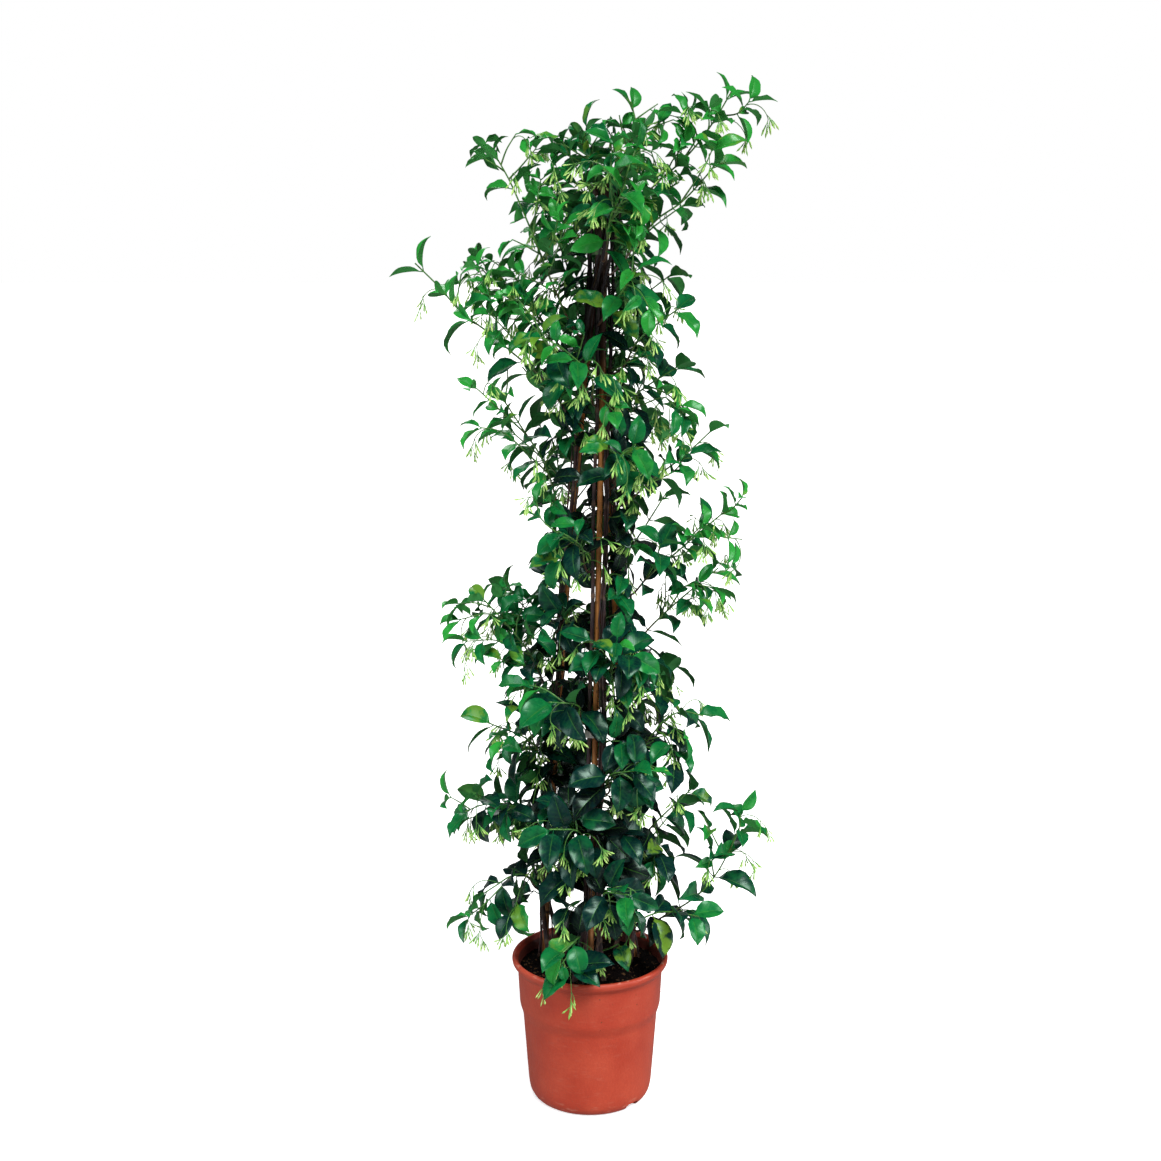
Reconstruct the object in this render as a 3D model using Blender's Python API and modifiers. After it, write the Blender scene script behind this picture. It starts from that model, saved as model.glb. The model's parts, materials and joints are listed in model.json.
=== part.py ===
"""Potted star jasmine on a tripod of canes, about 1.2 m tall, in a round 19 cm nursery pot.

Metres, +Z up, +Y away from the front. The origin is the centre of the pot's underside.
"""

import math
import random
from collections import namedtuple

import bmesh
import bpy
from mathutils import Matrix, Vector
from mathutils.bvhtree import BVHTree

# Gaps between neighbours that touch on the real plant
GAP = 0.0003
HOLE_GAP = 0.0004
WELD = 0.00001
CLEAR = 0.0004

# Pot
POT_HEIGHT = 0.180
POT_WALL = 0.0015
POT_FLOOR = 0.0020
LIP_RADIUS = 0.0950
LIP_HEIGHT = 0.0105
COLLAR_TOP_RADIUS = 0.0880
COLLAR_FOOT_RADIUS = 0.0856
COLLAR_FOOT_Z = 0.1155
BODY_TOP_RADIUS = 0.0818
BODY_FOOT_RADIUS = 0.0752
BODY_FOOT_Z = 0.0180
BASE_RADIUS = 0.0650
POT_STEPS = 28
NOTCH_ANGLES = (-44.0, -164.0, 76.0)
NOTCH_WIDTH = 0.020
NOTCH_HEIGHT = 0.0090
NOTCH_INNER_RADIUS = 0.0610

# Soil
SOIL_TOP = 0.1620
SOIL_MOUND = 0.0040
SOIL_STEPS = 14

# Canes of the tripod: where each stands in the soil, and how far it bows out half-way
CANE_RADIUS = 0.0037
CANE_FOOT_Z = 0.0650
CANE_OVER_TIE = 0.0750
CANE_POINTS = 8
CANES = {
    "left": (Vector((-0.0560, 0.0300)), 0.0080),
    "front": (Vector((0.0000, -0.0620)), 0.0010),
    "right": (Vector((0.0550, 0.0300)), -0.0020),
}
TIE_CENTRE = Vector((0.0120, 0.0000))
TIE_Z = 1.0200
TIE_OFFSET = 0.0049
TIE_BAND = (0.0013, 0.0060)
TIE_SIDES = 12
CLIP_Z = 0.4700
CLIP_BAND = (0.0010, 0.0090)
CLIPPED_VINE = "vine_front_left"
CLIP_DETOUR = 0.0035

# Old stems that climb the canes: cane, side of it, swing in turns of phase, top height
VINE_FOOT_RADIUS = 0.0030
VINE_TOP_RADIUS = 0.0018
VINE_REACH_LOW = 0.0072
VINE_REACH_HIGH = 0.0112
VINE_ROOT_REACH = 0.0240
VINE_ROOT_TURN = 146.0
VINE_ROOT_DEPTH = 0.0300
VINE_POINTS = 16
SWING_PITCH = 0.2300
SWING_TURN = 16.0
VINE_SIDE_TURN = 76.0
VINE_TOP_TURN = 56.0
Vine = namedtuple("Vine", "cane side phase top")
VINES = {
    "vine_left_outer": Vine("left", 1, 0.00, 1.075),
    "vine_left_inner": Vine("left", -1, 0.35, 1.050),
    "vine_front_left": Vine("front", -1, 0.60, 1.085),
    "vine_front_right": Vine("front", 1, 0.20, 1.060),
    "vine_right_outer": Vine("right", -1, 0.50, 1.080),
    "vine_right_inner": Vine("right", 1, 0.85, 1.045),
}

# Leaves, stems and buds
STEM_ROOT_RADIUS = 0.0013
STEM_TIP_RADIUS = 0.0008
LEAF_HALF_WIDTH = 0.265
LEAF_KEEL = 0.0014
LEAF_SIZES = (0.98, 1.08, 1.14, 1.16)
LEAF_SPREADS = (0.65, 0.95, 1.10)
LEAF_BENDS = (18.0, 62.0)
LEAF_TWIST = 28.0
LEAF_FACES_OUT = 0.85
ROOT_SUNK = 0.0002
PETIOLE_HALF = 0.0008
FIRST_PAIR = 0.024
STEM_TRIES = 60
STEM_SHAKE = 0.0012
LEAF_TRIES = 14
BUNCH_TRIES = 24
PEDUNCLE_RADIUS = 0.0007
PEDUNCLE_LENGTHS = (0.036, 0.050)
PEDUNCLE_BEND = math.radians(95.0)
PEDUNCLE_BARE_FROM = 0.16
BUD_RADIUS = 0.0014
BUD_LENGTH = 0.0140
SEED = 2

# Each side shoot: root height on its vine, points on its way, tip, leaf pairs, leaf length,
# how much the leaves hang (0 to 1), bunches of buds
Shoot = namedtuple("Shoot", "name root way tip pairs leaf hang bunches")
SHOOTS = [
    Shoot("top_right_high", 1.035, [(0.062, -0.015, 1.083), (0.108, -0.025, 1.125),
                                    (0.136, -0.030, 1.162)], (0.154, -0.030, 1.192), 6, 0.038, 0.0, 2),
    Shoot("top_right_low", 0.995, [(0.068, -0.030, 1.050), (0.105, -0.040, 1.078)],
          (0.140, -0.045, 1.118), 5, 0.044, 0.1, 1),
    Shoot("top_right_back", 0.975, [(0.060, 0.030, 1.035)], (0.112, 0.050, 1.075), 4, 0.042, 0.3, 1),
    Shoot("top_middle", 1.050, [(0.032, -0.012, 1.110), (0.050, -0.016, 1.150)],
          (0.045, -0.018, 1.182), 4, 0.036, 0.0, 0),
    Shoot("top_middle_left", 1.045, [(0.004, 0.016, 1.100)], (-0.006, 0.016, 1.148), 4, 0.040, 0.1, 1),
    Shoot("top_back", 1.020, [(0.022, 0.050, 1.070)], (0.030, 0.080, 1.118), 4, 0.042, 0.3, 1),
    Shoot("top_front", 1.010, [(0.022, -0.050, 1.055)], (0.036, -0.085, 1.088), 4, 0.044, 0.4, 1),
    Shoot("top_left", 0.925, [(-0.040, -0.015, 0.980), (-0.066, -0.020, 1.045),
                              (-0.088, -0.025, 1.096)], (-0.106, -0.028, 1.128), 6, 0.038, 0.1, 1),
    Shoot("top_left_back", 0.965, [(-0.030, 0.030, 1.015)], (-0.062, 0.050, 1.085), 3, 0.042, 0.3, 1),
    Shoot("left_long", 0.830, [(-0.045, -0.012, 0.870), (-0.078, -0.016, 0.900), (-0.111, -0.020, 0.929),
                               (-0.143, -0.025, 0.953), (-0.166, -0.028, 0.980)],
          (-0.194, -0.030, 1.008), 6, 0.043, 0.0, 2),
    Shoot("left_upper", 0.890, [(-0.052, 0.015, 0.935), (-0.095, 0.025, 0.972)],
          (-0.130, 0.032, 1.018), 5, 0.038, 0.2, 1),
    Shoot("left_upper_front", 0.860, [(-0.036, -0.045, 0.905)], (-0.076, -0.068, 0.958), 4, 0.042, 0.4, 1),
    Shoot("left_high_back", 0.800, [(-0.040, 0.048, 0.838)], (-0.080, 0.078, 0.885), 3, 0.044, 0.4, 0),
    Shoot("left_mid_high", 0.705, [(-0.042, -0.008, 0.752), (-0.056, -0.014, 0.790),
                                   (-0.076, -0.020, 0.822)], (-0.100, -0.024, 0.860), 6, 0.040, 0.2, 2),
    Shoot("left_mid_back", 0.740, [(-0.050, 0.040, 0.775)], (-0.094, 0.058, 0.812), 4, 0.042, 0.4, 1),
    Shoot("right_upper", 0.885, [(0.056, -0.025, 0.925)], (0.100, -0.040, 0.960), 4, 0.044, 0.4, 1),
    Shoot("right_upper_back", 0.920, [(0.052, 0.035, 0.960)], (0.096, 0.052, 0.995), 4, 0.042, 0.4, 0),
    Shoot("right_upper_low", 0.830, [(0.052, -0.006, 0.860)], (0.100, -0.012, 0.893), 4, 0.044, 0.5, 1),
    Shoot("right_high_back", 0.780, [(0.052, 0.044, 0.812)], (0.088, 0.074, 0.850), 3, 0.044, 0.4, 0),
    Shoot("right_mid_high", 0.730, [(0.070, -0.012, 0.762), (0.107, -0.020, 0.792)],
          (0.140, -0.025, 0.824), 5, 0.040, 0.0, 1),
    Shoot("right_mid", 0.620, [(0.071, -0.020, 0.656), (0.098, -0.025, 0.680), (0.126, -0.030, 0.706)],
          (0.156, -0.032, 0.732), 6, 0.037, 0.0, 1),
    Shoot("right_mid_low", 0.560, [(0.075, 0.000, 0.592), (0.106, 0.005, 0.620)],
          (0.150, 0.010, 0.656), 5, 0.038, 0.2, 1),
    Shoot("right_mid_back", 0.650, [(0.060, 0.050, 0.690)], (0.092, 0.080, 0.735), 3, 0.042, 0.4, 0),
    Shoot("left_mid_low", 0.500, [(-0.066, -0.006, 0.548), (-0.090, -0.015, 0.586)],
          (-0.126, -0.020, 0.628), 6, 0.040, 0.2, 2),
    Shoot("left_mid_low_back", 0.540, [(-0.062, 0.050, 0.578)], (-0.098, 0.074, 0.618), 4, 0.046, 0.5, 0),
    Shoot("right_low_high", 0.425, [(0.074, -0.015, 0.462), (0.100, -0.022, 0.490)],
          (0.130, -0.028, 0.488), 5, 0.048, 0.3, 1),
    Shoot("right_low_back", 0.470, [(0.074, 0.045, 0.505)], (0.104, 0.072, 0.530), 3, 0.046, 0.5, 0),
    Shoot("low_right", 0.205, [(0.088, -0.012, 0.232), (0.128, -0.022, 0.262), (0.156, -0.028, 0.302)],
          (0.176, -0.030, 0.350), 6, 0.047, 0.0, 1),
    Shoot("low_right_under", 0.225, [(0.082, -0.048, 0.252)], (0.126, -0.070, 0.256), 4, 0.044, 0.3, 1),
    Shoot("low_right_high", 0.320, [(0.082, -0.004, 0.352)], (0.122, -0.006, 0.392), 4, 0.046, 0.3, 1),
    Shoot("low_right_back", 0.275, [(0.078, 0.062, 0.308)], (0.108, 0.092, 0.335), 4, 0.048, 0.5, 0),
    Shoot("low_left", 0.335, [(-0.086, -0.004, 0.366), (-0.118, -0.014, 0.376)],
          (-0.148, -0.022, 0.368), 5, 0.046, 0.1, 1),
    Shoot("low_left_under", 0.255, [(-0.084, -0.008, 0.286)], (-0.130, -0.018, 0.262), 4, 0.042, 0.4, 1),
    Shoot("low_left_high", 0.415, [(-0.070, -0.012, 0.452)], (-0.120, -0.024, 0.478), 4, 0.048, 0.4, 1),
    Shoot("low_left_back", 0.290, [(-0.078, 0.062, 0.322)], (-0.110, 0.090, 0.345), 3, 0.048, 0.5, 0),
    Shoot("front_lowest", 0.215, [(-0.012, -0.082, 0.236)], (-0.036, -0.116, 0.226), 3, 0.044, 0.3, 1),
    Shoot("front_low_right", 0.265, [(0.016, -0.088, 0.292)], (0.044, -0.124, 0.304), 4, 0.050, 0.5, 0),
    Shoot("front_low_left", 0.335, [(-0.012, -0.080, 0.364)], (-0.046, -0.112, 0.378), 4, 0.052, 0.6, 1),
    Shoot("front_mid_low", 0.400, [(0.022, -0.076, 0.430)], (0.050, -0.108, 0.446), 4, 0.050, 0.6, 0),
    Shoot("front_mid_left", 0.490, [(-0.014, -0.070, 0.512)], (-0.046, -0.100, 0.524), 4, 0.050, 0.6, 0),
    Shoot("front_mid_right", 0.530, [(0.024, -0.066, 0.560)], (0.046, -0.098, 0.580), 4, 0.048, 0.5, 1),
    Shoot("front_high_left", 0.660, [(-0.010, -0.056, 0.694)], (-0.036, -0.082, 0.716), 3, 0.044, 0.5, 0),
    Shoot("front_high_right", 0.755, [(0.030, -0.048, 0.788)], (0.050, -0.078, 0.812), 4, 0.046, 0.5, 1),
    Shoot("front_top_left", 0.850, [(0.002, -0.048, 0.884)], (-0.018, -0.082, 0.908), 4, 0.042, 0.5, 1),
    Shoot("front_top_right", 0.940, [(0.032, -0.042, 0.972)], (0.050, -0.078, 1.004), 4, 0.042, 0.4, 1),
    Shoot("back_low", 0.380, [(0.010, 0.060, 0.420)], (0.014, 0.104, 0.452), 3, 0.048, 0.5, 0),
    Shoot("back_high", 0.860, [(0.008, 0.046, 0.905)], (0.000, 0.084, 0.945), 4, 0.044, 0.4, 0),
]


# Routes of canes, vines and shoots

def lerp(low, high, share):
    return low + (high - low) * share


def smooth(low, high, value):
    """0 below low, 1 above high, eased between."""
    share = min(max((value - low) / (high - low), 0.0), 1.0)
    return share * share * (3.0 - 2.0 * share)


def cane_at(cane, z):
    """The cane's centre at height z. At the tie the canes pass each other side by side."""
    foot, bow = CANES[cane]
    outward = foot.normalized()
    beside = Vector((-outward.y, outward.x))
    at_tie = TIE_CENTRE + beside * TIE_OFFSET
    share = (z - SOIL_TOP) / (TIE_Z - SOIL_TOP)
    bulge = bow * 4.0 * share * (1.0 - share) if 0.0 < share < 1.0 else 0.0
    place = foot.lerp(at_tie, share) + outward * bulge
    return Vector((place.x, place.y, z))


def cane_route(cane):
    """From the cane's foot deep in the soil to its head above the tie."""
    heights = [CANE_FOOT_Z, lerp(CANE_FOOT_Z, SOIL_TOP, 0.5)]
    heights += [lerp(SOIL_TOP, TIE_Z, i / (CANE_POINTS - 1)) for i in range(CANE_POINTS)]
    heights.append(TIE_Z + CANE_OVER_TIE)
    return [cane_at(cane, z) for z in heights]


def vine_radius(z):
    return lerp(VINE_FOOT_RADIUS, VINE_TOP_RADIUS, min(max(z - SOIL_TOP, 0.0), 1.0))


def vine_at(name, z):
    """The vine's centre at height z, on its side of the cane and swinging gently round it."""
    vine = VINES[name]
    cane = cane_at(vine.cane, z)
    middle = TIE_CENTRE * min(max((z - SOIL_TOP) / (TIE_Z - SOIL_TOP), 0.0), 1.0)
    outward = (cane.xy - middle).normalized()
    swing = math.sin(2.0 * math.pi * (z / SWING_PITCH + vine.phase))
    spread = lerp(VINE_SIDE_TURN, VINE_TOP_TURN, smooth(0.86, 0.98, z))
    reach = lerp(VINE_REACH_LOW, VINE_REACH_HIGH, smooth(0.84, 0.98, z))
    low = 1.0 - smooth(SOIL_TOP, SOIL_TOP + 0.09, z)
    angle = math.radians(vine.side * lerp(spread, VINE_ROOT_TURN, low) + SWING_TURN * swing)
    reach = lerp(reach, VINE_ROOT_REACH, low)
    if vine.cane == "front" and name != CLIPPED_VINE:
        # Stands off where the clip passes between it and the cane
        reach += CLIP_DETOUR * (1.0 - smooth(0.03, 0.13, abs(z - CLIP_Z)))
    turned = Vector((outward.x, outward.y, 0.0))
    turned.rotate(Matrix.Rotation(angle, 3, "Z"))
    return cane + turned * reach


def vine_route(name):
    """Straight in its hole, then up the cane."""
    foot = vine_at(name, SOIL_TOP)
    bottom = foot - Vector((0.0, 0.0, VINE_ROOT_DEPTH))
    heights = [lerp(SOIL_TOP + 0.008, VINES[name].top, i / (VINE_POINTS - 2)) for i in range(VINE_POINTS - 1)]
    above = Vector((foot.x, foot.y, heights[0]))
    return [bottom, above] + [vine_at(name, z) for z in heights[1:]]


def vine_place(name, z):
    """Where the vine's straight-sided tube has its centre at height z."""
    route = vine_route(name)
    for low, high in zip(route, route[1:]):
        if low.z <= z <= high.z:
            return low.lerp(high, (z - low.z) / (high.z - low.z))
    return route[-1]


def smooth_route(points, count):
    """count points evenly spread along a smooth curve through points."""
    dense = []
    ends = [points[0] * 2.0 - points[1]] + list(points) + [points[-1] * 2.0 - points[-2]]
    for i in range(1, len(ends) - 2):
        before, start, end, after = ends[i - 1:i + 3]
        for j in range(12):
            t = j / 12.0
            bend = (start * 2.0 + (end - before) * t
                    + (before * 2.0 - start * 5.0 + end * 4.0 - after) * t * t
                    + (start * 3.0 - before - end * 3.0 + after) * t * t * t)
            dense.append(bend * 0.5)
    dense.append(ends[-2].copy())
    lengths = [0.0]
    for a, b in zip(dense, dense[1:]):
        lengths.append(lengths[-1] + (b - a).length)
    route = []
    for k in range(count):
        want = lengths[-1] * k / (count - 1)
        i = next((n for n, reach in enumerate(lengths) if reach >= want), len(lengths) - 1)
        i = max(i, 1)
        span = max(lengths[i] - lengths[i - 1], 1e-9)
        route.append(dense[i - 1].lerp(dense[i], (want - lengths[i - 1]) / span))
    return route, lengths[-1]


# Meshes of leaves, stems and buds as lists of points and faces

def bent_point(base, along, up, length, bend, share):
    """Point, direction and upward side at a share of an arc that starts along and turns down."""
    turn = bend * share
    if abs(bend) < 1e-4:
        reach, sink = length * share, 0.0
    else:
        reach = length * math.sin(turn) / bend
        sink = length * (1.0 - math.cos(turn)) / bend
    place = base + along * reach - up * sink
    side_up = along * math.sin(turn) + up * math.cos(turn)
    return place, side_up


SPHERES = {}


def unit_sphere(sides, rings):
    """Points and faces of a small sphere whose poles lie on Z, from Blender's own primitive."""
    if (sides, rings) not in SPHERES:
        bm = bmesh.new()
        bmesh.ops.create_uvsphere(bm, u_segments=sides, v_segments=rings, radius=1.0)
        bmesh.ops.triangulate(bm, faces=bm.faces[:])
        bm.verts.ensure_lookup_table()
        points = [v.co.copy() for v in bm.verts]
        faces = [[v.index for v in f.verts] for f in bm.faces]
        bm.free()
        SPHERES[(sides, rings)] = (points, faces)
    return SPHERES[(sides, rings)]


Leaf = namedtuple("Leaf", "base along up length bend")
# Along the leaf: share of its length, share of its half width, share of its keel's depth
LEAF_STATIONS = ((0.0, 0.0, 0.0), (0.09, 0.0, 1.0), (0.42, 1.0, 1.0), (0.76, 0.66, 0.9), (1.0, 0.0, 0.0))
SKIPPED_STALK = ((0.14, 0.0, 0.0), (0.17, 0.15, 1.0))


def leaf_mesh(leaf, skip_stalk=False, spare=0.0):
    """A blade on a short stalk: flat on top, with a keel below. spare makes it larger all round."""
    points, faces = unit_sphere(4 if spare else 3, 4)
    across = leaf.up.cross(leaf.along).normalized()
    width = leaf.length * LEAF_HALF_WIDTH
    placed = []
    for p in points:
        ring = round(math.acos(max(-1.0, min(1.0, -p.z))) / math.pi * 4)
        share, wide, thick = LEAF_STATIONS[ring]
        if skip_stalk and ring < 2:
            share, wide, thick = SKIPPED_STALK[ring]
        place, side_up = bent_point(leaf.base, leaf.along, leaf.up, leaf.length, leaf.bend, share)
        half = width * wide + (PETIOLE_HALF if ring == 1 else 0.0)
        if not 0 < ring < 4:
            placed.append(place)
            continue
        turn = math.degrees(math.atan2(p.y, p.x)) % 360.0
        if spare:
            # Right edge, top, left edge, keel
            role = round(turn / 90.0) % 4
            sideways = (half + spare, 0.0, -half - spare, 0.0)[role]
            rise = (0.0, spare, 0.0, -LEAF_KEEL * thick - spare)[role]
        else:
            # Right edge, left edge, keel
            role = round(turn / 120.0) % 3
            sideways = (half, -half, 0.0)[role]
            rise = (0.0, 0.0, -LEAF_KEEL * thick)[role]
        placed.append(place + across * sideways + side_up * rise)
    return placed, faces


Bunch = namedtuple("Bunch", "base along up length bend buds")
BUNCH_STATIONS = ((0.0, 0.0), (0.06, 1.0), (0.55, 1.0), (1.0, 1.0))
BUNCH_SIDES = 3


def bunch_mesh(bunch, start=0.0, spare=0.0):
    """A slim arching flower stalk whose end parts into three hanging buds, as one closed shape."""
    across = bunch.up.cross(bunch.along).normalized()
    points, faces = [], []
    rings = []
    for share, wide in BUNCH_STATIONS:
        share = max(share, start if wide else start * 0.9)
        place, side_up = bent_point(bunch.base, bunch.along, bunch.up, bunch.length, bunch.bend, share)
        if not wide:
            rings.append([len(points)])
            points.append(place)
            continue
        ring = []
        for k in range(BUNCH_SIDES):
            angle = 2.0 * math.pi * k / BUNCH_SIDES
            ring.append(len(points))
            radius = PEDUNCLE_RADIUS + spare
            points.append(place + (across * math.cos(angle) + side_up * math.sin(angle)) * radius)
        rings.append(ring)
    for k in range(BUNCH_SIDES):
        after = (k + 1) % BUNCH_SIDES
        faces.append([rings[0][0], rings[1][k], rings[1][after]])
        for low, high in zip(rings[1:], rings[2:]):
            faces.append([low[k], high[k], high[after], low[after]])
    way = side_up.cross(across)
    if way.dot(place - points[rings[2][0]]) < 0.0:
        way = -way
    middle = len(points)
    points.append(place + way * 0.0008)
    for k in range(BUNCH_SIDES):
        after = (k + 1) % BUNCH_SIDES
        angle = 2.0 * math.pi * (k + 0.5) / BUNCH_SIDES
        lean = across * math.cos(angle) + side_up * math.sin(angle)
        side = -across * math.sin(angle) + side_up * math.cos(angle)
        bud_way = (way * 0.80 + lean * 0.45 + Vector((0.0, 0.0, -0.35))).normalized()
        length = BUD_LENGTH * bunch.buds[k] + spare
        belly = place + bud_way * length * 0.55
        radius = BUD_RADIUS + spare
        first = len(points)
        points.append(belly + (lean * 0.5 - side * 0.87) * radius)
        points.append(belly + (lean * 0.5 + side * 0.87) * radius)
        points.append(belly - lean * radius)
        points.append(place + bud_way * length)
        root = [rings[-1][k], rings[-1][after], middle]
        ring = [first, first + 1, first + 2]
        for i in range(3):
            n = (i + 1) % 3
            faces.append([root[i], ring[i], ring[n], root[n]])
            faces.append([ring[i], first + 3, ring[n]])
    return points, faces


def tube_mesh(route, radii, sides=4):
    """A plain open-ended tube, used only to keep other things clear of a stem."""
    points, faces = [], []
    for i, place in enumerate(route):
        ahead = route[min(i + 1, len(route) - 1)] - route[max(i - 1, 0)]
        across = ahead.cross(Vector((0.31, 0.72, 0.21))).normalized()
        other = ahead.cross(across).normalized()
        for k in range(sides):
            angle = 2.0 * math.pi * k / sides
            points.append(place + (across * math.cos(angle) + other * math.sin(angle)) * radii[i])
    for i in range(len(route) - 1):
        for k in range(sides):
            a, b = i * sides + k, i * sides + (k + 1) % sides
            faces.append([a, b, b + sides, a + sides])
    return points, faces


def turned_mesh(profile, steps=32):
    """A ring-shaped keep-out surface from a closed profile."""
    points, faces = [], []
    count = len(profile)
    for i in range(steps):
        angle = 2.0 * math.pi * i / steps
        points += [Vector((r * math.cos(angle), r * math.sin(angle), z)) for r, z in profile]
    for i in range(steps):
        for k in range(count):
            after = (i + 1) % steps
            faces.append([i * count + k, i * count + (k + 1) % count,
                          after * count + (k + 1) % count, after * count + k])
    return points, faces


# Keeping every piece clear of the pieces of other nodes

class Space:
    """Holds what is already placed and says whether a new mesh would cross any of it."""

    def __init__(self):
        self.held = []

    @staticmethod
    def box(points):
        low = Vector([min(p[i] for p in points) for i in range(3)])
        high = Vector([max(p[i] for p in points) for i in range(3)])
        return low, high

    def add(self, mesh, owner, kind):
        low, high = self.box(mesh[0])
        self.held.append((low, high, BVHTree.FromPolygons(*mesh), owner, kind))

    def free(self, mesh, owner=None, own_kinds=()):
        """True if mesh touches nothing, leaving out the owner's pieces except of own_kinds."""
        low, high = self.box(mesh[0])
        tree = None
        for other_low, other_high, other, name, kind in self.held:
            if name == owner and kind not in own_kinds:
                continue
            if any(low[i] > other_high[i] or high[i] < other_low[i] for i in range(3)):
                continue
            if tree is None:
                tree = BVHTree.FromPolygons(*mesh)
            if tree.overlap(other):
                return False
        return True


def keep_outs():
    """The pot, soil, canes, vines and bands, which shoots and leaves grow round."""
    space = Space()
    lip_foot = POT_HEIGHT - LIP_HEIGHT
    pot = [(0.0840, 0.1100), (BASE_RADIUS, 0.0), (BODY_TOP_RADIUS, COLLAR_FOOT_Z), (0.0885, lip_foot),
           (LIP_RADIUS + GAP, lip_foot), (LIP_RADIUS + GAP, POT_HEIGHT + GAP), (0.0880, POT_HEIGHT + GAP)]
    space.add(turned_mesh(pot), "pot", "pot")
    top = SOIL_TOP + SOIL_MOUND + 0.002
    slab = [(0.0, top - 0.020), (0.088, top - 0.020), (0.088, top), (0.0, top)]
    space.add(turned_mesh(slab), "soil", "soil")
    for cane in CANES:
        route = cane_route(cane)
        route[-1] = cane_at(cane, TIE_Z + CANE_OVER_TIE + 0.002)
        space.add(tube_mesh(route, [CANE_RADIUS * 1.12] * len(route), 8), "cane_" + cane, "cane")
    for name in VINES:
        route = vine_route(name)
        radii = [vine_radius(p.z) * 1.06 for p in route]
        space.add(tube_mesh(route, radii, 8), name, "vine")
    centre = Vector((TIE_CENTRE.x, TIE_CENTRE.y, TIE_Z))
    band = [centre - Vector((0, 0, 0.004)), centre + Vector((0, 0, 0.004))]
    space.add(tube_mesh(band, [0.0125] * 2, 8), "cane_tie", "tie")
    clip = cane_at("front", CLIP_Z).lerp(vine_place(CLIPPED_VINE, CLIP_Z), 0.5)
    band = [clip - Vector((0, 0, 0.006)), clip + Vector((0, 0, 0.006))]
    space.add(tube_mesh(band, [0.0100] * 2, 8), "plant_clip", "clip")
    return space


def pick_vine(root, aim):
    """The vine that faces aim at this height, and the way out of it, clear of its cane."""
    best = None
    for name, vine in VINES.items():
        if root > vine.top - 0.004:
            continue
        place = vine_place(name, root)
        out = (place - cane_at(vine.cane, root)).to_2d().normalized()
        middle = TIE_CENTRE * ((root - SOIL_TOP) / (TIE_Z - SOIL_TOP))
        away = (place.to_2d() - middle).normalized()
        want = (aim.to_2d() - place.to_2d()).normalized()
        score = out.dot(want) + away.dot(want)
        if best is None or score > best[0]:
            best = (score, name, place, out, want)
    _, name, place, out, want = best
    way = (out + want).normalized()
    return name, place, Vector((way.x, way.y, 0.0))


def lay_stem(shoot, space, draw):
    """The stem's route, moved a little until it crosses nothing. None if it never fits."""
    tip = Vector(shoot.tip)
    way = [Vector(p) for p in shoot.way]
    vine, place, out = pick_vine(shoot.root, way[0])
    # The stem leaves square to the vine's surface, a hair's breadth clear of it
    for extra in range(12):
        start = place + out * (vine_radius(place.z) + GAP + extra * 0.0001)
        if space.free(tube_mesh([start, start + out * 0.005], [STEM_ROOT_RADIUS] * 2)):
            break
    count = shoot.pairs + 2
    for attempt in range(STEM_TRIES):
        shake = STEM_SHAKE * attempt
        shift = Vector([draw.uniform(-shake, shake) for _ in range(3)])
        first = start + out * 0.010 + Vector((0.0, 0.0, 0.001))
        points = [start, first] + [p + shift for p in way] + [tip + shift * 0.5]
        route, length = smooth_route(points, count)
        route[0] = start
        route.insert(1, start + out * 0.005)
        radii = [lerp(STEM_ROOT_RADIUS, STEM_TIP_RADIUS, i / (len(route) - 1)) for i in range(len(route))]
        beyond_root = tube_mesh(route[1:], [r + CLEAR for r in radii[1:]])
        if space.free(beyond_root) and space.free(tube_mesh(route[:2], radii[:2])):
            space.add(tube_mesh(route, radii), shoot.name, "stem")
            return route, radii, vine
    return None


def leaf_way(stem_way, angle, spread, hang):
    """The way a leaf or flower stalk points that leaves the stem at an angle round it."""
    level = stem_way.cross(Vector((0.0, 0.0, 1.0)))
    level = level.normalized() if level.length > 1e-3 else Vector((1.0, 0.0, 0.0))
    rise = level.cross(stem_way).normalized()
    sideways = level * math.cos(angle) + rise * math.sin(angle)
    along = stem_way * math.cos(spread) + sideways * math.sin(spread)
    return (along + Vector((0.0, 0.0, -1.0)) * hang).normalized()


def upper_side(along, place, twist):
    """Up and outwards, square to the leaf, with a small random twist."""
    out = Vector((place.x - TIE_CENTRE.x, place.y, 0.0)).normalized()
    up = Vector((0.0, 0.0, 1.0)) + out * LEAF_FACES_OUT
    up = up - along * up.dot(along)
    if up.length < 0.2:
        up = out - along * out.dot(along)
    up.normalize()
    up.rotate(Matrix.Rotation(math.radians(twist), 3, along))
    return up


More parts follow.
